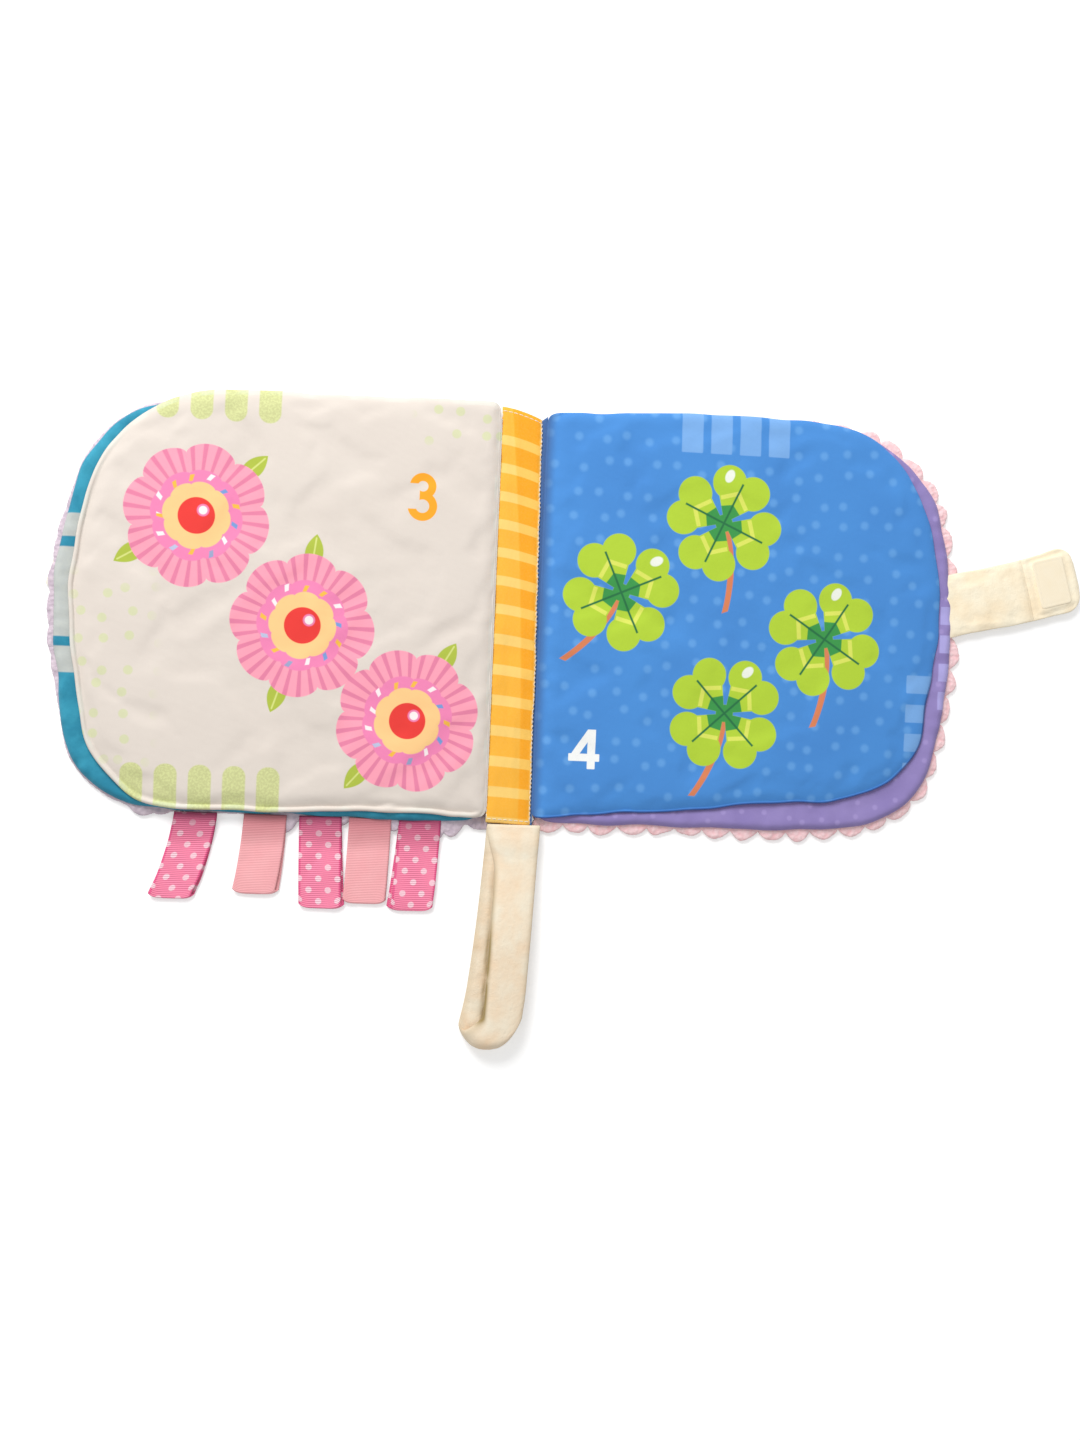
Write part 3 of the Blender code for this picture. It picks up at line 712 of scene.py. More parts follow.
creamCloth = creamPrint("cream_page_cotton", True)
creamBackCloth = creamPrint("cream_page_back_cotton", False)
blueCloth = bluePrint("blue_page_cotton", True)
blueBackCloth = bluePrint("blue_page_back_cotton", False)
turquoiseCloth = turquoiseCotton()
purpleCloth = purpleCotton()
ginghamCloth = ginghamCotton()
lilacPlush = plush("lilac_plush", (186, 168, 184), (224, 208, 218), 1.9, 0.4)
pinkPlush = plush("pink_plush", (250, 190, 194), (255, 224, 226), 1.9, 0.34)
# the last colour is the painted shade laid in the carry loop's slit, creases and sides
creamPlush = fleece("cream_plush", (242, 216, 184), (243, 233, 211), (160, 138, 92))
yellowFleece = fleece("yellow_fleece", (252, 233, 200), (255, 246, 222))
dottedCloth = dottedRibbon()
plainCloth = plainRibbon()
hookCloth = hookTape("hook_tape", (250, 235, 205), (253, 241, 216), 1.2, 0.05)
loopCloth = hookTape("loop_tape", (226, 224, 216), (250, 244, 226), 0.9, 0.08)
whiteThread = thread("white_thread", (244, 226, 196))
creamThread = thread("cream_thread", (250, 236, 208))
waddingCloth = filling()
filmCloth = crackleFilm()
report("materials made")


clothLook = {
    "step": 3.4 * mm, "frames": 20, "growth": 0.022, "pressure": 0.25, "stiffness": 12.0,
    "bending": 0.35, "mass": 0.06,
    "broad": 0.13,          # what bulges wider than this share of a side is taken off
    "cap": 0.55 * mm,       # the wrinkles level off at this height
}


def weightsOf(wanted, known, width):
    # rows of Gaussian weights that carry values at the known shares to the wanted ones
    share = hump(wanted[:, None] - known[None], width)
    return share / share.sum(axis=1, keepdims=True)


def settled(rim, side, crown, seed):
    # Blender's cloth on a coarse grid whose rim is pinned and whose weave is a little too
    # large, so that it buckles. Returns the grid's places and the height of its wrinkles
    look = clothLook
    x, y, across, up = clothGrid(rim, look["step"], look["step"], look["step"])
    depth = rimDistance(x, y, rim)[0]
    heights = crown * (1 - np.exp(-depth / (8 * mm))) + ripples(x, y, 30 * mm, seed) * 0.25 * mm
    faces = quadsOf(*x.shape)[:, ::side]
    sheet = newPiece("clothTrial", np.stack((x * side, y, heights), axis=-1), faces.tolist(),
                     creamCloth, {})
    pinned = sheet.vertex_groups.new(name="rim")
    pinned.add(np.flatnonzero(depth.ravel() < look["step"] * 0.6).tolist(), 1.0, "REPLACE")
    cloth = sheet.modifiers.new("cloth", "CLOTH")
    cloth.settings.vertex_group_mass = "rim"
    cloth.settings.quality = 6
    cloth.settings.mass = look["mass"]
    cloth.settings.tension_stiffness = look["stiffness"]
    cloth.settings.compression_stiffness = look["stiffness"]
    cloth.settings.shear_stiffness = look["stiffness"] / 3
    cloth.settings.bending_stiffness = look["bending"]
    cloth.settings.shrink_min = -look["growth"]
    cloth.settings.use_pressure = True
    cloth.settings.uniform_pressure_force = look["pressure"]
    cloth.settings.effector_weights.gravity = 0
    cloth.collision_settings.use_collision = False
    cloth.point_cache.frame_end = look["frames"]
    for number in range(1, look["frames"] + 1):
        bpy.context.scene.frame_set(number)
    shown = sheet.evaluated_get(bpy.context.evaluated_depsgraph_get())
    moved = np.zeros(len(shown.data.vertices) * 3, np.float32)
    shown.data.vertices.foreach_get("co", moved)
    rise = moved.reshape(-1, 3)[:, 2].reshape(x.shape) - heights
    bpy.data.objects.remove(sheet, do_unlink=True)
    bpy.context.scene.frame_set(1)
    highest = rise.max() / mm
    broad = look["broad"]
    rise -= weightsOf(up, up, broad) @ rise @ weightsOf(across, across, broad).T
    report("cloth settled, bulge %.2f mm, wrinkles %.2f to %.2f mm"
           % (highest, rise.min() / mm, rise.max() / mm))
    return across, up, look["cap"] * np.tanh(rise / look["cap"])


def carried(trial, across, up):
    # the coarse rise on the fine grid: a Gaussian-weighted mean, along each direction in turn
    coarseAcross, coarseUp, rise = trial
    width = 0.8 / (len(coarseUp) - 1)
    return weightsOf(up, coarseUp, width) @ rise @ weightsOf(across, coarseAcross, width).T


def sewn(piece, fill, body, *nodes):
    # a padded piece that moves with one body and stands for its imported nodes
    if nodes:
        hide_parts(*nodes)
    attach(piece, body)


pageLook = {
    "fine": 0.32 * mm, "band": 3.6 * mm, "coarse": 1.35 * mm,   # grid steps
    "cloth": 0.45 * mm, "film": 0.12 * mm,
    "seam": 0.75 * mm,          # the seam lies this far above the page's floor
    "round": 2.4 * mm,          # how quickly the padding rises from the seam
    "edgeWave": 0.35 * mm,
    "ease": 0.35 * mm,          # the padding levels off this far below the crest
    "fold": 1.1 * mm,           # a width beside the page's root; no step bends the page over it
    # wavelength and height of the wrinkles, and how deep inside the rim they reach full height
    "wrinkles": ((42 * mm, 0.30 * mm, 14 * mm), (13 * mm, 0.10 * mm, 5 * mm)),
    "gutterWrinkles": (11 * mm, 0.35 * mm, 2 * mm),
}
leftPage = {
    "side": -1, "gutter": 7 * mm, "gutterDrop": 0.3, "hem": 1.2 * mm, "hemEnd": 0.46, "seed": 11,
    "tuck": 0.45 * mm,          # how far the root reaches over the strip's edge
    "dents": ((-58, -98, 36, 2.0), (-186, -84, 16, 1.2),    # x, y, width and depth, millimetres
              (-18, 99, 58, -3.8), (-118, 99, 52, -1.9)),
    "material": creamCloth, "back": creamBackCloth, "slot": "cream_cotton",
    "cover": "front_cover",
}
rightPage = {
    "side": 1, "gutter": 12 * mm, "gutterDrop": 1.0, "hem": 0.45 * mm, "hemEnd": 0.27, "seed": 23,
    "tuck": 0.0,
    "dents": ((150, 99, 40, 4.0), (196, 74, 26, 3.0), (55, -96, 40, 2.6), (133, -91, 44, 6.2),
              (203, -58, 17, -4.0), (188, -76, 15, -2.2)),
    "material": blueCloth, "back": blueBackCloth, "slot": "blue_cotton",
    "cover": "back_cover",
}


def pageHeights(page, x, y, depth, beside, floor, crest, length):
    # seam height plus a rise that levels off with depth, less the fall into the gutter
    look = pageLook
    seam = floor + look["seam"]
    rise = (crest - seam - look["ease"]) * (1 - np.exp(-depth / look["round"]))
    for number, (wide, high, fade) in enumerate(look["wrinkles"]):
        rise += ripples(x, y, wide, page["seed"] + number) * high * ramp(0, fade, depth)
    gutter = 1 - ramp(0, page["gutter"], x - x.min())
    wide, high, fade = look["gutterWrinkles"]
    rise += ripples(x * 0.4, y, wide, page["seed"] + 2) * high * gutter * ramp(0, fade, depth)
    heights = seam + rise - (crest - floor) * page["gutterDrop"] * gutter ** 1.4 * 0.8
    # a rolled edge on the first part of the rim: half a circle, with a groove inside it
    radius = page["hem"] * (1 + 0.35 * hump(beside - 45 * mm, 3 * mm))
    ending = ramp(page["hemEnd"] - 0.035, page["hemEnd"] + 0.035, beside / length)
    here = ramp(0, 6 * mm, beside) * (1 - ending)
    roll = np.sqrt(np.clip(1 - (depth / radius - 1) ** 2, 0, 1)) * 1.15 * radius
    inner = 1 - np.exp(-np.maximum(depth - 2 * radius, 0) / look["round"])
    hemmed = seam + np.where(depth < 2 * radius, roll, (heights - seam) * inner)
    return heights * (1 - here) + hemmed * here


def pagePieces(word, page):
    # the face and back of one leaf and the film between them, all on the same outline
    look, side, seed = pageLook, page["side"], page["seed"]
    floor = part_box(word + "_page_lower")[0].z
    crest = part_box(word + "_page_upper")[1].z
    rim = rimOf(nodePoints(word + "_page_lower"), side, 3.0 * mm, dents=page["dents"])
    root = rim[:, 0].min()
    rim[:, 0] -= page["tuck"] * (1 - ramp(0, 3 * mm, rim[:, 0] - root))
    along = rimFrame(rim)[0]
    wave = ripples(along, 0 * along, 24 * mm, seed + 5) * look["edgeWave"]
    rim = pushedOut(rim, wave * ramp(12 * mm, 20 * mm, rim[:, 0] - rim[:, 0].min()))
    x, y, across, up = clothGrid(rim, look["fine"], look["band"], look["coarse"])
    depth, beside = rimDistance(x, y, rim)
    trial = settled(rim, side, 1.2 * mm, seed)
    heights = pageHeights(page, x, y, depth, beside, floor, crest, along[-1])
    heights += np.maximum(carried(trial, across, up), -0.9 * mm) * ramp(0, 10 * mm, depth)
    heights = np.maximum(heights, floor + look["seam"])
    above = np.maximum(heights - crest + look["ease"], 0)
    heights += look["ease"] * np.tanh(above / look["ease"]) - above
    face = sheetPiece(word + "PageFace", side, (x, y), heights, look["cloth"],
                      page["material"], marksOf(x * side, y, beside, depth))
    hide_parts(word + "_page_upper")
    inset = pushedOut(rim, -0.5 * mm)
    x, y = clothGrid(inset, 0.8 * mm, 4 * mm, 2.2 * mm)[:2]
    depth, beside = rimDistance(x, y, inset)
    sag = 1 - np.exp(-depth / (3 * mm))
    heights = floor + look["seam"] * (1 - 0.75 * sag) + look["cloth"] * 0.3
    heights += ripples(x, y, 22 * mm, seed + 7) * 0.12 * mm * sag
    back = sheetPiece(word + "PageBack", side, (x, y), heights, look["cloth"], page["back"],
                      marksOf(x * side, y, beside, depth + 4 * mm))
    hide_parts(word + "_page_lower")
    inner = rimOf(nodePoints(word + "_page_film"), side, 3.0 * mm, dents=page["dents"])
    x, y = clothGrid(inner, 2 * mm, 4 * mm, 2.4 * mm)[:2]
    heights = floor + (1.1 - 0.2 * np.abs(ripples(x, y, 16 * mm, seed + 9))) * mm
    film = sheetPiece(word + "PageFilm", side, (x, y), heights, look["film"],
                      filmCloth, marksOf(x * side, y))
    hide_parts(word + "_page_film")
    for piece in (face, back, film):
        side * root
        side * (root + look["fold"])
        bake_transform(piece)
    report(word + " page made")
    return rim


pageRims = {"left": pagePieces("left", leftPage), "right": pagePieces("right", rightPage)}


coverLook = {
    "fine": 0.5 * mm, "band": 6 * mm, "coarse": 1.8 * mm,
    "cloth": 0.5 * mm,
    "roll": 3.4 * mm,          # radius of the padded edge
    "proud": 0.9 * mm,         # how far that edge stands above the flat middle
    "pucker": 0.55 * mm,
}
scallopLook = {
    "pitch": 13.7 * mm, "depth": 4.3 * mm, "inset": 4.0 * mm, "thick": 2.1 * mm,
    "step": 0.55 * mm, "around": 30, "fuzz": 0.34 * mm, "square": 0.75,
    "pastFoot": 0.8, "pastTop": 0.05,   # reach past the spine's ends, as shares of the depth
}
frontCover = {
    "side": -1, "seed": 31, "material": turquoiseCloth, "slot": "turquoise_cotton",
    "plush": lilacPlush, "plushSlot": "plush_lilac", "body": "front_cover",
    "plushRoot": -11.6 * mm, "bend": (9 * mm, 19 * mm),   # in the cover's own mirrored x
    "dents": ((-197, 77, 36, 4.6), (-190, -88, 24, 2.6), (-50, -98, 34, -1.2)),
    "plushDents": ((-2, 99, 17, 4.4),),
    "lobes": 0.45, "shown": 0.06,
    # where the plush edge shows more: x, y and width in millimetres, and the share added
    "peeks": ((-218, 2, 42, 0.5), (-169, -101, 9, 0.95), (-104, -103, 7, 1.9),
              (-80, -103, 6, 1.2), (-56, -103, 6, 1.3), (-31, -102, 9, 2.2)),
}
backCover = {
    "side": 1, "seed": 47, "material": purpleCloth, "slot": "purple_cotton",
    "plush": pinkPlush, "plushSlot": "plush_pink", "body": "back_cover",
    "plushRoot": 11.3 * mm, "bend": (12 * mm, 23.5 * mm),
    "dents": ((188, 84, 34, 4.2), (190, -90, 30, 5.0), (160, 97, 34, -4.5)),
    "plushDents": ((13, 99, 12, 3.4),),
    "lobes": 1.0, "shown": 1.0, "peeks": (),
}


def liningPiece(word, cover):
    # a padded panel: a quarter round at its rim, a proud edge, and puckers that run inwards
    look, side, seed = coverLook, cover["side"], cover["seed"]
    low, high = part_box(word + "_cover_lining")
    rim = rimOf(nodePoints(word + "_cover_lining"), side, 4.0 * mm, dents=cover["dents"])
    along = rimFrame(rim)[0]
    free = ramp(12 * mm, 30 * mm, rim[:, 0] - rim[:, 0].min())
    rim = pushedOut(rim, ripples(along, 0 * along, 26 * mm, seed) * 0.5 * mm * free)
    x, y, across, up = clothGrid(rim, look["fine"], look["band"], look["coarse"])
    depth, beside = rimDistance(x, y, rim)
    trial = settled(rim, side, 1.5 * mm, seed)
    quarter = np.sqrt(np.clip(1 - (1 - np.minimum(depth / look["roll"], 1)) ** 2, 0, 1))
    free = ramp(12 * mm, 30 * mm, x - x.min())
    proud = look["proud"] * hump(depth - look["roll"], 4.5 * mm) * free
    heights = low.z + (high.z - low.z - 0.25 * mm) * quarter + proud
    ridge = ripples(beside, depth * 0.35, 9 * mm, seed + 1)
    heights += ridge * look["pucker"] * np.exp(-depth / (9 * mm)) * quarter * free
    fade = ramp(2 * mm, 12 * mm, depth) * np.exp(-depth / (25 * mm))
    heights += carried(trial, across, up) * 0.4 * fade
    # under the page it is held down to just below the page's lower cloth
    page = "left" if side < 0 else "right"
    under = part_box(page + "_page_lower")[0].z
    inside = ramp(0, 3 * mm, rimDistance(x, y, pageRims[page])[0])
    heights = heights * (1 - inside) + np.minimum(heights, under - 0.15 * mm) * inside
    lining = sheetPiece(word + "CoverLining", side, (x, y), heights, look["cloth"],
                        cover["material"], marksOf(x * side, y, beside, depth))
    sewn(lining, 0.5, cover["body"], word + "_cover_lining")


def plushPiece(word, cover):
    # the outer panel of looped plush, from its seam on the spine to just inside the scallops
    side = cover["side"]
    low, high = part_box(word + "_cover_plush")
    seam = nodePoints(word + "_cover_lining")[:, :2]
    root = side * cover["plushRoot"]
    outline = np.vstack((seam, ((root, seam[:, 1].min()), (root, seam[:, 1].max()))))
    rim = rimOf(outline, side, 3.0 * mm, dents=cover["dents"] + cover["plushDents"], hold=0.8 * mm)
    inner = pushedOut(rim, -0.6 * mm)
    x, y = clothGrid(inner, 1.2 * mm, 6 * mm, 1.75 * mm)[:2]
    depth, beside = rimDistance(x, y, inner)
    heights = high.z - 0.05 * mm + ripples(x, y, 26 * mm, cover["seed"] + 3) * 0.08 * mm
    heights -= 0.45 * mm * np.exp(-depth / (2.0 * mm))
    panel = sheetPiece(word + "CoverPlush", side, (x, y), heights, high.z - low.z - 0.6 * mm,
                       cover["plush"], marksOf(x * side, y, beside, depth))
    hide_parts(word + "_cover_plush", *(["spine_plush"] if word == "front" else []))
    return panel, rim


def scallopPiece(word, cover, rim):
    # the plush edge: an oval section carried round the rim, whose reach outwards is the scallop
    # depth times a power of a sine along the rim, and whose surface is lumpy
    look, side, seed = scallopLook, cover["side"], cover["seed"]
    along, normal = rimFrame(rim)[::2]
    beside = np.linspace(0, along[-1], round(along[-1] / look["step"]))
    rimX, rimY = pointsAt(beside, along, rim).T
    first, last = np.flatnonzero(rimX - rim[:, 0].min() > 1.2 * mm)[[0, -1]]
    beside = beside[first:last + 1]
    rimX, rimY = pointsAt(beside, along, rim).T
    outX, outY = pointsAt(beside, along, normal).T
    jitter = ripples(beside, 0 * beside, 47 * mm, seed + 4) * 0.13
    bump = np.abs(np.sin(np.pi * (beside / look["pitch"] + jitter))) ** 0.75
    bump = 1 - cover["lobes"] * (1 - bump)
    shown = np.full(len(beside), cover["shown"])
    for x, y, width, share in cover["peeks"]:
        away = np.hypot(rimX - side * x * mm, rimY - y * mm) / (width * mm)
        shown += share * np.exp(-away ** 4)
    shown *= 1 + 0.26 * ripples(beside, 0 * beside, 19 * mm, seed + 6)
    free = ramp(15 * mm, 21 * mm, rimX)
    ends = np.where(rimY < 0, look["pastFoot"], look["pastTop"])
    reach = look["depth"] * (bump * shown * free + ends * (1 - free)) + 0.5 * mm
    turn = np.linspace(0, 2 * np.pi, look["around"], endpoint=False)[None]
    half = (reach + look["inset"])[:, None] / 2
    middle = (reach - look["inset"])[:, None] / 2
    across = middle + half * softWave(np.cos(turn), look["square"])
    plump = look["thick"] / 2 * (0.8 + 0.35 * (bump * free)[:, None])
    height = softWave(np.sin(turn), look["square"]) * plump
    swell = -0.6
    for length, share, number in ((3.4 * mm, 1, 8), (1.7 * mm, 0.5, 9)):
        lumps = ripples(beside[:, None], turn * 1.6 * mm + across, length, seed + number, 30)
        swell = swell + share * (1 - np.abs(lumps))
    across = across + look["fuzz"] * swell * np.cos(turn)
    height = height + look["fuzz"] * swell * np.sin(turn)
    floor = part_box(word + "_cover_plush")[0].z
    points = np.stack((
        side * (rimX[:, None] + outX[:, None] * across),
        rimY[:, None] + outY[:, None] * across,
        np.maximum(floor + look["thick"] / 2 + 0.15 * mm + height, floor + 0.05 * mm),
    ), axis=-1)
    return tubePiece(word + "CoverScallops", points, cover["plush"],
                     {"flatPlace": points})


def paddingPieces(word, cover):
    # the wadding and the film inside a cover: flat, and lower towards their rims
    side = cover["side"]
    for part, thick, top, material in (("wadding", 1.7 * mm, 3.75 * mm, waddingCloth),
                                       ("film", 0.12 * mm, 4.1 * mm, filmCloth)):
        node = "%s_cover_%s" % (word, part)
        rim = rimOf(nodePoints(node), side, 3.0 * mm, dents=cover["dents"])
        x, y = clothGrid(rim, 2.4 * mm, 5 * mm, 3.2 * mm)[:2]
        heights = top - 0.4 * mm * np.exp(-rimDistance(x, y, rim)[0] / (4 * mm))
        heights += ripples(x, y, 14 * mm, cover["seed"] + 12) * 0.08 * mm
        piece = sheetPiece("%sCover%s" % (word, part.capitalize()), side, (x, y), heights, thick,
                           material, marksOf(x * side, y))
        sewn(piece, 0.4, cover["body"], node)


def coverPieces(word, cover):
    # one cover from its lining to its plush, whose plush is two pieces: a panel and its scalloped
    # edge
    liningPiece(word, cover)
    panel, rim = plushPiece(word, cover)
    edging = scallopPiece(word, cover, rim)
    for piece in (panel, edging):
        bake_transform(piece)
    paddingPieces(word, cover)
    report(word + " cover made")


coverPieces("front", frontCover)
coverPieces("back", backCover)


stripLook = {
    "crown": 0.8 * mm, "proud": 0.78 * mm, "wave": 0.35 * mm, "narrower": 1.9 * mm,
    "slant": 1.0 * mm, "topSlant": 4.2 * mm, "further": 0.22 * mm, "taller": 2.0 * mm,
    "allowanceEnd": 11.5 * mm,   # the blue seam allowance reaches this far under its page
}


def spineStrip():
    # a padded strip: its height is the crown times one less a power of the place across. It
    # narrows towards its top, and its bands fall to the right, most of all there
    look = stripLook
    low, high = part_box("gingham_strip")
    half = (high.x - low.x) / 2 + 0.35 * mm
    share = np.sin(np.linspace(-np.pi / 2, np.pi / 2, 61))[None]
    level = np.linspace(0, 1, 400)[:, None]
    up = low.y + (high.y + look["taller"] - low.y) * level
    right = half - look["narrower"] * level ** 1.5 + ripples(up, 0 * up, 31 * mm, 61) * look["wave"]
    left = -half - look["further"] + ripples(up, 0 * up, 40 * mm, 62) * look["wave"] * 0.2
    x = (left + right) / 2 + share * (right - left) / 2
    y = up - (look["slant"] + look["topSlant"] * level) * ((share + 1) / 2) ** 1.5
    heights = high.z + look["proud"] + look["crown"] * (1 - np.abs(share) ** 5)
    heights = heights + ripples(x * 0.3, y, 17 * mm, 63) * 0.22 * mm
    heights += ripples(x, y * 0.16, 8 * mm, 64) * 0.16 * mm
    heights += ripples(0 * x, y, 5.5 * mm, 65) * 0.25 * mm * np.abs(share) ** 8
    end = np.minimum(level, 1 - level) * (high.y - low.y)
    heights -= 0.9 * mm * np.exp(-end / (1.2 * mm))
    strip = sheetPiece("ginghamStrip", 1, (x, y), heights, high.z - low.z + look["proud"],
                       ginghamCloth, marksOf(x, up + 0 * x, 0 * x, right - x))
    sewn(strip, 0.5, "spine", "gingham_strip")
    seamAllowance(right[::2], y[::2, -1:], level[::2])
    spineWadding()
    return x, y, heights


def seamAllowance(edgeX, edgeY, level):
    # the blue page's seam allowance: it rises a little from the strip's edge to under the page
    near = edgeX + 0.1 * mm
    share = np.linspace(0, 1, 7)[None]
    x = near + (stripLook["allowanceEnd"] - near) * share
    y = edgeY + 2.2 * mm * level * share
    heights = 4.55 * mm + 0.35 * mm * share + ripples(x, y, 12 * mm, 66) * 0.04 * mm
    # its cloth lies wholly in the blue print's painted gutter shade, so it shows a dark grey blue
    allowance = sheetPiece("rightSeamAllowance", 1, (x, y), heights, 0.35 * mm, blueCloth,
                           marksOf(x, y, 0 * x, 5 * mm + 0 * x))
    sewn(allowance, 0.1, "spine")


def spineWadding():
    # the wadding under the strip, lower towards its rim
    rim = rimOf(nodePoints("spine_wadding"), 1, 1.0 * mm, 360)
    x, y = clothGrid(rim, 1 * mm, 3 * mm, 2.4 * mm)[:2]
    heights = 3.3 * mm - 0.3 * mm * np.exp(-rimDistance(x, y, rim)[0] / (2 * mm))
    pad = sheetPiece("spineWadding", 1, (x, y), heights, 1.3 * mm, waddingCloth,
                     marksOf(x, y))
    sewn(pad, 0.5, "spine", "spine_wadding")


stripX, stripY, stripHeights = spineStrip()


def runningStitch(name, path, pitch, radius, material):
    # a thread along the path: it rises between the needle holes by a sine and dips into the cloth
    along = lengthsOf(path)
    wanted = np.linspace(0, along[-1], max(2, round(along[-1] / pitch)) * 8 + 1)
    line = pointsAt(wanted, along, path)
    pulse = np.abs(np.sin(np.pi * wanted / pitch)) ** 0.6
    line[:, 2] += radius * 2.2 * pulse - radius * 1.5
    tangent = np.gradient(line[:, :2], axis=0)
    tangent /= np.linalg.norm(tangent, axis=1)[:, None] + 1e-12
    turn = np.linspace(0, 2 * np.pi, 6, endpoint=False)
    beside = np.column_stack((-tangent[:, 1], tangent[:, 0], np.zeros(len(line))))
    rings = (line[:, None] + beside[:, None] * (radius * np.cos(turn))[None, :, None]
             + np.array((0, 0, 1)) * (radius * np.sin(turn))[None, :, None])
    return tubePiece(name, rings, material, {"flatPlace": rings})


def stripStitches():
    # an overlocked right edge that sways by a sine, and a running stitch inside each side
    rows, columns = stripX.shape
    path = np.column_stack((stripX[:, -1], stripY[:, -1], stripHeights[:, -1] - 0.3 * mm))
    path[:, 0] += 0.2 * mm * np.sin(2 * np.pi * path[:, 1] / (2.1 * mm))
    edging = runningStitch("stripOverlock", path, 2.1 * mm, 0.22 * mm, whiteThread)
    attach(edging, "spine")
    inset = 4
    up, across = np.arange(inset, rows - inset), np.arange(inset, columns - inset)
    for word, row, column in (("Left", up, inset), ("Right", up, columns - 1 - inset),
                              ("Foot", inset, across), ("Top", rows - 1 - inset, across)):
        path = np.column_stack((stripX[row, column], stripY[row, column],
                                stripHeights[row, column] - 0.1 * mm))
        stitches = runningStitch("strip%sStitches" % word, path, 2.6 * mm, 0.2 * mm, whiteThread)
        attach(stitches, "spine")


stripStitches()
report("spine strip made")


def bandPiece(name, middle, sideways, width, along, relief, widths):
    # a soft oval section of the strap carried along a path of middle points
    look = strapLook
    across, height = softProfile(width, look["thick"], look["square"], look["around"])
    across = across[None] * widths[:, None]
    height = height[None] + relief(across, along[:, None], np.broadcast_to(height, across.shape))
    rings = middle[:, None] + sideways * across[..., None] + (0, 0, 1.0) * height[..., None]
    flat = np.stack((across, np.broadcast_to(along[:, None], across.shape),
                     np.where(height > 0, 0.0, 0.02)), axis=-1)
    return tubePiece(name, rings, yellowFleece, {"flatPlace": flat})


strapLook = {
    "thick": 3.2 * mm, "square": 0.5, "around": 72, "step": 0.8 * mm,
    "under": 7 * mm,        # how far the sewn end reaches in under the lining
    "corner": 9 * mm, "wider": 0.07, "sag": 1.2 * mm, "pad": 0.3 * mm, "groove": 0.45 * mm,
    "puff": 0.5 * mm,
}


def strapFrame():
    # the strap's directions across and along, and the places of its two folds
    across = np.array(joints["strap_root_fold"]["axis"], float)
    along = np.array((across[1], -across[0], 0))
    rootFold = np.array(joints["strap_root_fold"]["pos_m"], float)
    tipFold = np.array(joints["strap_tip_fold"]["pos_m"], float)
    return across, along, rootFold, tipFold


def boxField(along, aside, halfAlong, halfAside):
    # distance outside a rectangle, below zero within it
    outAlong, outAside = np.abs(along) - halfAlong, np.abs(aside) - halfAside
    outside = np.hypot(np.maximum(outAlong, 0), np.maximum(outAside, 0))
    return outside + np.minimum(np.maximum(outAlong, outAside), 0)


def reachOf(node, direction):
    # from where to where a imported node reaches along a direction
    away = nodePoints(node) @ direction
    return away.min(), away.max()


def strapPieces():
    # two lengths of a soft band, which sags between its ends, is pinched at the seam between
    # them, widens to a rounded tip, and is pressed down round the hook patch
    look = strapLook
    across, along, rootFold, tipFold = strapFrame()
    width = np.ptp(reachOf("strap_root_band", across))
    low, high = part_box("strap_root_band")
    start = reachOf("strap_anchor", along)[0] - look["under"]
    fold, seam = rootFold @ along, tipFold @ along
    end = reachOf("strap_tip_band", along)[1]
    near, far = reachOf("hook_patch", along)
    patchHalf = (far - near) / 2, np.ptp(reachOf("hook_patch", across)) / 2

    def section(first, last, name, rounded):
        away = np.linspace(first, last, round((last - first) / look["step"]))
        middle = (rootFold - along * fold)[None] + along[None] * away[:, None]
        middle[:, 2] = (low.z + high.z) / 2 + 0.25 * mm
        whole = np.clip((away - fold) / (end - fold), 0, 1)
        middle -= across[None] * (look["sag"] * np.sin(np.pi * whole))[:, None]
        widths = 1 + 0.012 * ripples(away, 0 * away, 21 * mm, 71) + look["wider"] * whole ** 1.5
        thin = 1 - 0.55 * hump(away - seam, 1.3 * mm)
        if rounded:
            ending = np.clip((away - (last - look["corner"])) / look["corner"], 0, 1)
            widths *= 1 - (1 - np.sqrt(np.clip(1 - ending ** 2.2, 0, 1))) * 0.6
            thin *= np.sqrt(np.clip(1.02 - ending ** 5, 0.02, 1))

        def relief(side, place, height):
            dent = ripples(side, place, 15 * mm, 73) * 0.3 * mm
            dent += ripples(side, place, 6 * mm, 74) * 0.12 * mm
            inPad = boxField(place - (near + far) / 2, side, *patchHalf)
            under = ramp(1.2 * mm, -1.2 * mm, inPad)
            pad = look["pad"] * under - look["groove"] * hump(inPad - 1.7 * mm, 1.3 * mm)
            puff = hump(place - (fold + seam) / 2, 9 * mm) * hump(side, 9 * mm)
            raised = dent * (1 - 0.9 * under) + pad + look["puff"] * puff
            return np.where(height > 0, raised, 0) + height * (thin[:, None] - 1)

        return bandPiece(name, middle, across, width, away, relief, widths)

    root = section(start, seam + 0.3 * mm, "strapBand", False)
    tip = section(seam - 0.3 * mm, end, "strapTip", True)
    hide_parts("strap_anchor", "strap_root_band")
    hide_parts("strap_tip_band")
    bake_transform(root)
    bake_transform(tip)
    return across, along


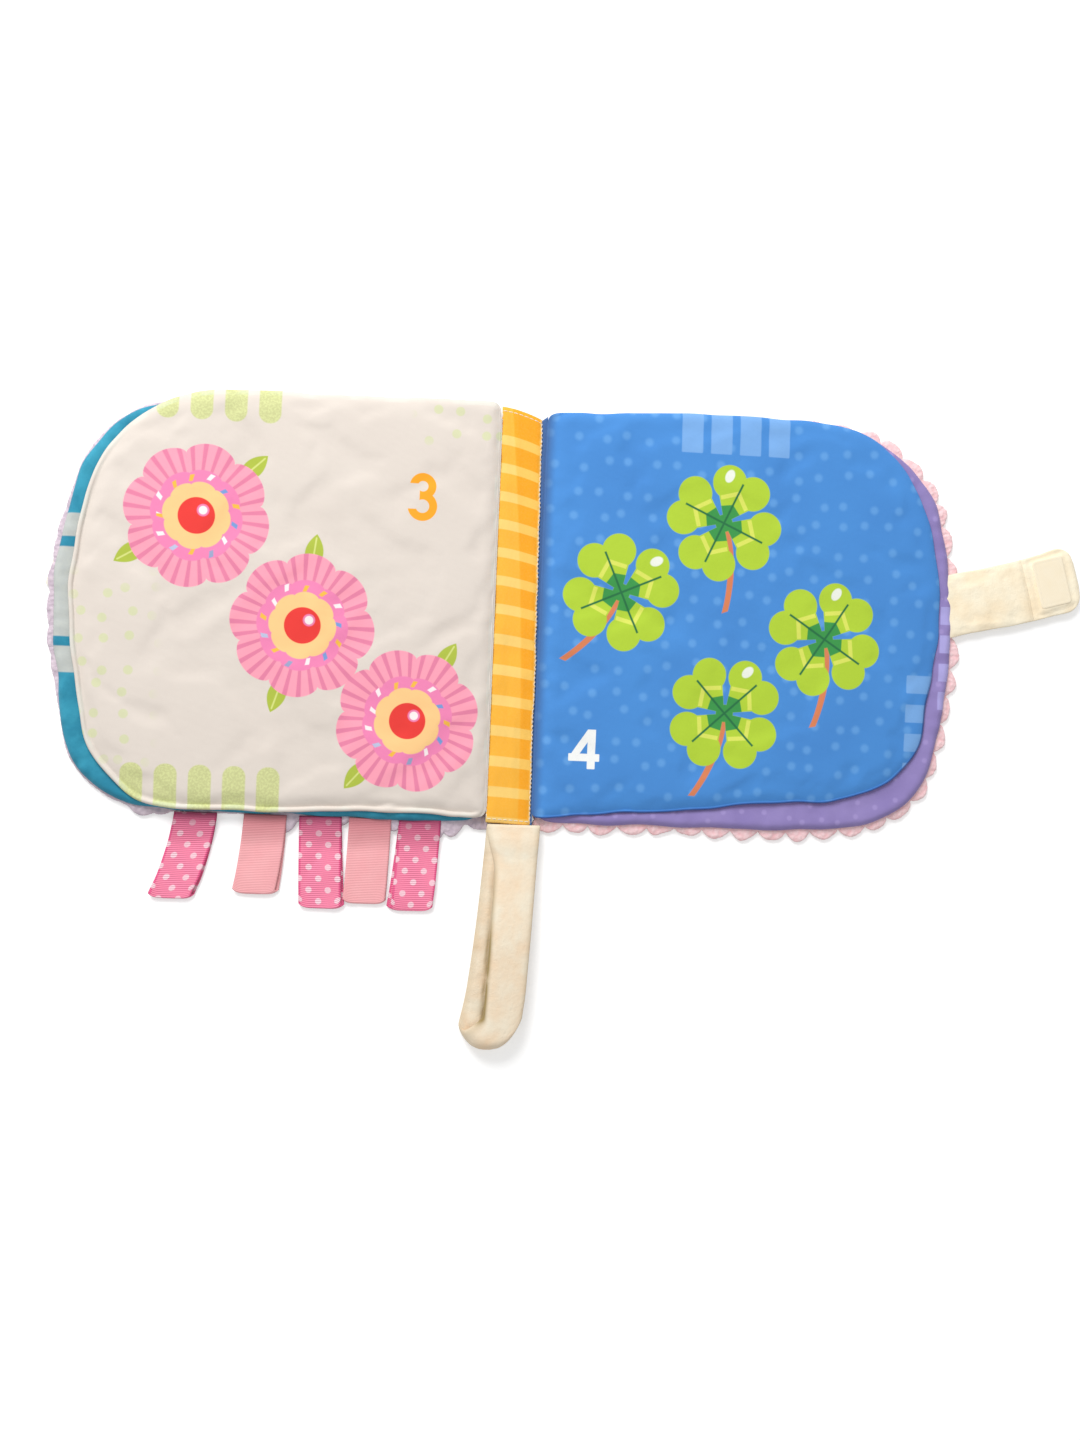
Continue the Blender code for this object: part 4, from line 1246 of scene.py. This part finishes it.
def patchPiece(name, node, material, body, across, along, faceUp):
    # a low pad with rounded corners; the one that faces up is crowned and grooved at its rim
    points = nodePoints(node)
    low, high = points[:, 2].min(), points[:, 2].max()
    rim = rimOf(np.column_stack((points @ along, points @ across)), 1, 0.5 * mm, 360)
    a, c = clothGrid(rim, 0.25 * mm, 1.5 * mm, 0.7 * mm)[:2]
    depth = rimDistance(a, c, rim)[0]
    sunk = 0.2 * mm * np.exp(-depth / (0.5 * mm)) + 0.1 * mm * hump(depth - 1.6 * mm, 0.35 * mm)
    x, y = (a * along[axis] + c * across[axis] for axis in (0, 1))
    piece = sheetPiece(name, 1, (x, y), high - sunk * faceUp, high - low, material,
                       marksOf(a, c))
    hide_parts(node)
    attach(piece, body)
    edge = pushedOut(rim, -1.5 * mm)[::6]
    edge = np.vstack((edge, edge[:1]))
    level = high - 0.28 * mm if faceUp else low + 0.35 * mm
    path = np.column_stack((edge @ (along[0], across[0]), edge @ (along[1], across[1]),
                            np.full(len(edge), level)))
    stitches = runningStitch(name + "Stitches", path, 2.4 * mm, 0.15 * mm, creamThread)
    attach(stitches, body)


strapAcross, strapAlong = strapPieces()
patchPiece("hookPatch", "hook_patch", hookCloth, "strap_tip", strapAcross, strapAlong, True)
mirror = np.array((-1, 1, 1))
patchPiece("loopPatch", "loop_patch", loopCloth, "front_cover", strapAcross * mirror,
           strapAlong * mirror * (-1, -1, 1), False)
report("strap made")


def foldedPath(reach, look, steps=70, turns=22):
    # out along the lower run, round the fold and back along the upper run: reach, height and
    # level, which is 1 on the lower run and 0 on the upper one
    hang, gap, thick = hangLook, look["gap"], look["thick"]
    radius = (gap + thick) / 2
    straight = reach - radius - thick / 2
    out = np.linspace(0, straight, steps)
    drop = ramp(hang["start"], hang["end"], out)
    lower = hang["inner"] * (1 - drop) + hang["lift"] * drop + thick / 2
    opening = (gap - hang["clear"]) * ramp(0, straight * 0.6, out)
    upper = lower + thick + hang["clear"] + opening
    turn = np.linspace(-np.pi / 2, np.pi / 2, turns + 2)[1:-1]
    foldHeight = lower[-1] + radius + radius * np.sin(turn)
    level = np.concatenate((np.ones(steps), 0.5 - 0.5 * np.sin(turn), np.zeros(steps)))
    return (np.concatenate((out, straight + radius * np.cos(turn), out[::-1])),
            np.concatenate((lower, foldHeight, upper[::-1])), level)


# what hangs off an edge leaves at the inner height and comes down between start and end
hangLook = {
    "start": 5 * mm, "end": 16 * mm, "lift": 0.3 * mm, "inner": 1.8 * mm, "clear": 0.3 * mm,
}


def upwardOf(middle):
    # the path's upward unit normal in its vertical plane
    upward = np.cross(np.gradient(middle, axis=0), np.array((1.0, 0, 0)))
    return upward / np.linalg.norm(upward, axis=1)[:, None]


def foldMarks(across, along, shade):
    # where the band lies when flat, and how much painted shade it takes, in its folds and near its
    # root
    flat = (np.broadcast_to(across, shade.shape), np.broadcast_to(along[:, None], shade.shape),
            0 * shade)
    return {"flatPlace": np.stack(flat, axis=-1),
            "foldShade": np.stack((shade * mm, 0 * shade, 0 * shade), axis=-1)}


loopLook = {
    "reach": 107 * mm, "gap": 5 * mm, "thick": 2.5 * mm, "lean": math.radians(3.0),
    "stagger": 4.8 * mm, "width": 25.5 * mm, "round": 9 * mm, "fuller": 1.7 * mm, "square": 0.6,
    "narrower": 5.2 * mm,   # the upper run's left edge is turned under by this much
    "shadeWidth": 1.15 * mm,
}


def slitShade(share):
    # how dark the slit between the runs is: faint near the spine, dark below, broken by a pinch
    pinch = 1 - 0.85 * hump(share - 0.69, 0.025)
    dark = 0.35 * ramp(0.12, 0.3, share) + 0.6 * ramp(0.42, 0.56, share) * pinch
    return dark * (1 - ramp(0.9, 0.96, share))


def carryLoop():
    # a plush band folded in half; its end is rounded by drawing the sides in near the fold
    look = loopLook
    root = np.array(joints["carry_loop_lift"]["pos_m"], float)
    reach, height, level = foldedPath(look["reach"], look)
    share = reach / look["reach"]
    fuller = look["fuller"] * ramp(0, 14 * mm, reach)
    drift = -reach * math.tan(look["lean"]) - look["stagger"] * level * share ** 2.4
    middle = np.column_stack((root[0] + drift, root[1] - reach, height + fuller / 2))
    across, unit = softProfile(look["width"], 1.0, look["square"], 64)
    high = unit[None] * (look["thick"] + fuller)[:, None]
    sag = ripples(across[None], reach[:, None], 24 * mm, 83) * 0.45 * mm
    sag += ripples(across[None] * 0.5, (reach + level)[:, None], 9 * mm, 84) * 0.16 * mm
    aside = (across / (look["width"] / 2))[None]
    ends = ramp(look["reach"] - 30 * mm, look["reach"], reach)[:, None]
    turned = look["narrower"] * (1 - level) * ramp(0, 0.22, share)
    turned = (turned * (1 - ramp(0.89, 0.99, share)) * (1 + 0.25 * share))[:, None]
    crease = hump(aside + 0.05, 0.1) * hump(share[:, None] - 0.36, 0.11)
    crease += 0.8 * hump(aside - 0.3, 0.12) * hump(share[:, None] - 0.22, 0.05)
    lifted = high + np.where(high > 0, sag - crease * 0.9 * mm, 0)
    lateral = across[None] + turned * (1 - aside) / 2
    rings = (middle[:, None] + np.array((1.0, 0, 0)) * lateral[..., None]
             + upwardOf(middle)[:, None] * lifted[..., None])
    rings[..., 1] += look["round"] * np.abs(aside + 0.12) ** 2.6 * ends
    # painted shade along the upper run's left edge, in the creases and at the band's sides
    upper = np.flatnonzero(level == 0)[::-1]
    slit = np.interp(share, share[upper], rings[upper, :, 0].min(axis=1))
    shade = hump(rings[..., 0] - slit[:, None], look["shadeWidth"]) * slitShade(share)[:, None]
    shade += 0.22 * crease * (high > 0) * (1 - level)[:, None]
    shade += 0.3 * np.clip(np.abs(aside) * 4.2 - 3.2, 0, 1)
    band = tubePiece("carryLoopBand", rings, creamPlush,
                     foldMarks(across, lengthsOf(middle), shade))
    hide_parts("carry_loop_band")
    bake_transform(band)


carryLoop()
report("carry loop made")

ribbonLook = {
    "width": 20 * mm, "thick": 0.5 * mm, "gap": 0.8 * mm, "length": 40 * mm, "wall": 0.35 * mm,
    # for each ribbon: its reach as a share of the length, then its lean and how far its lower
    # run peeps out, as shares of the width
    "loops": ((1.03, -0.54, 0.07), (0.95, -0.21, 0.09), (1.10, 0.06, 0.08), (1.03, -0.08, 0.02),
              (1.10, -0.12, -0.1)),
}


def ribbonLoop(number):
    # a folded ribbon: flat across, with a light curl along its length and rounded at its fold
    look = ribbonLook
    root = np.array(joints["ribbon_%d_lift" % number]["pos_m"], float)
    reachShare, leanShare, underShare = look["loops"][number - 1]
    whole = look["length"] * reachShare
    reach, height, level = foldedPath(whole, look, 46, 10)
    share = reach / whole
    lean = look["width"] * (share ** 1.4 * leanShare + level * share * underShare)
    middle = np.column_stack((root[0] + lean, root[1] - reach, height))
    along = lengthsOf(middle)
    reach, aside = reach[:, None], np.linspace(-1, 1, 25)[None]
    across = aside * look["width"] / 2
    x = middle[:, :1] + across
    y = middle[:, 1:2] + 1.9 * mm * aside ** 6 * ramp(whole * 0.7, whole, reach)
    curl = 0.5 * mm * ripples(aside * 9 * mm, reach, 30 * mm, 90 + number)
    curl = np.abs(curl * ramp(4 * mm, 18 * mm, reach))
    z = middle[:, 2:] + curl + 0.25 * mm * ramp(0, 20 * mm, reach) * aside ** 2
    # painted shade near the root, where the book's edge shades the ribbon
    shade = 0.75 * hump(reach, 10 * mm) + 0 * x
    plain = number in (2, 4)
    faces = quadsOf(*x.shape)[:, ::-1]
    piece = newPiece("ribbonLoop%d" % number, np.stack((x, y, z), axis=-1), faces.tolist(),
                     plainCloth if plain else dottedCloth,
                     foldMarks(across, along, shade))
    wall = piece.modifiers.new("ribbon", "SOLIDIFY")
    wall.thickness = look["wall"]
    wall.offset = 0
    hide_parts("ribbon_%d_loop" % number)
    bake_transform(piece)


for number in range(1, 6):
    ribbonLoop(number)
report("ribbons made")


stageLook = {
    "floor": 3.0, "floorDrop": 0.2 * mm, "floorShown": (0.36, 0.36, 0.36, 1), "world": 0.53,
    "keyWatts": 16.0, "keySize": 0.62, "keyPlace": (-0.42, 0.90, 0.88), "keyAim": (0, -0.02, 0),
}


def stageAndLight():
    # a floor that glows a little for the camera, surroundings that are dimmer than they look,
    # and one square lamp
    look = stageLook
    half = look["floor"] / 2
    mesh = bpy.data.meshes.new("floor")
    mesh.from_pydata([(-half, -half, 0), (half, -half, 0), (half, half, 0), (-half, half, 0)],
                     [], [(0, 1, 2, 3)])
    floor = bpy.data.objects.new("floor", mesh)
    floor.location.z = -look["floorDrop"]
    bpy.context.scene.collection.objects.link(floor)
    material = bpy.data.materials.new("pale_floor")
    material.use_nodes = True
    tree = material.node_tree
    shader = tree.nodes["Principled BSDF"]
    shader.inputs["Base Color"].default_value = colour(238, 238, 238)
    shader.inputs["Roughness"].default_value = 0.9
    ray = tree.nodes.new("ShaderNodeLightPath")
    tree.links.new(ray.outputs["Is Camera Ray"], shader.inputs["Emission Strength"])
    shader.inputs["Emission Color"].default_value = look["floorShown"]
    mesh.materials.append(material)
    world = bpy.data.worlds.new("soft_white")
    bpy.context.scene.world = world
    world.use_nodes = True
    sky = world.node_tree
    sky.nodes["Background"].inputs["Color"].default_value = (1, 1, 1, 1)
    seen = sky.nodes.new("ShaderNodeLightPath")
    strength = sky.nodes.new("ShaderNodeMapRange")
    strength.inputs["To Min"].default_value = look["world"]
    strength.inputs["To Max"].default_value = 1.0
    sky.links.new(seen.outputs["Is Camera Ray"], strength.inputs["Value"])
    sky.links.new(strength.outputs["Result"], sky.nodes["Background"].inputs["Strength"])
    lamp = bpy.data.lights.new("key", "AREA")
    lamp.energy = look["keyWatts"]
    lamp.size = look["keySize"]
    key = bpy.data.objects.new("key", lamp)
    key.location = look["keyPlace"]
    aim = Vector(look["keyAim"]) - key.location
    key.rotation_euler = aim.to_track_quat("-Z", "Y").to_euler()
    bpy.context.scene.collection.objects.link(key)


cameraLook = {
    "yaw": 6.0, "roll": 2.36, "distance": 0.750, "aim": (14.1 * mm, -48.9 * mm, 0),
    "focalPixels": 1551, "photoHeight": 1440,
}


def photoCamera():
    # a camera above the book, a little to its left and rolled, as the photograph was taken
    look = cameraLook
    yaw, roll = math.radians(look["yaw"]), math.radians(look["roll"])
    ahead = Vector((math.sin(yaw), 0, -math.cos(yaw)))
    right = Vector((math.cos(yaw), 0, math.sin(yaw)))
    up = Vector((0, 1, 0))
    turned = right * math.cos(roll) + up * math.sin(roll)
    raised = up * math.cos(roll) - right * math.sin(roll)
    data = bpy.data.cameras.new("photo")
    data.lens = look["focalPixels"] / look["photoHeight"] * data.sensor_width
    camera = bpy.data.objects.new("photo", data)
    basis = Matrix((turned, raised, -ahead)).transposed()
    place = Vector(look["aim"]) - ahead * look["distance"]
    camera.matrix_world = Matrix.Translation(place) @ basis.to_4x4()
    bpy.context.scene.collection.objects.link(camera)
    bpy.context.scene.camera = camera


stageAndLight()
photoCamera()
bpy.context.scene.view_settings.view_transform = "Standard"

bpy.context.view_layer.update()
report("done")
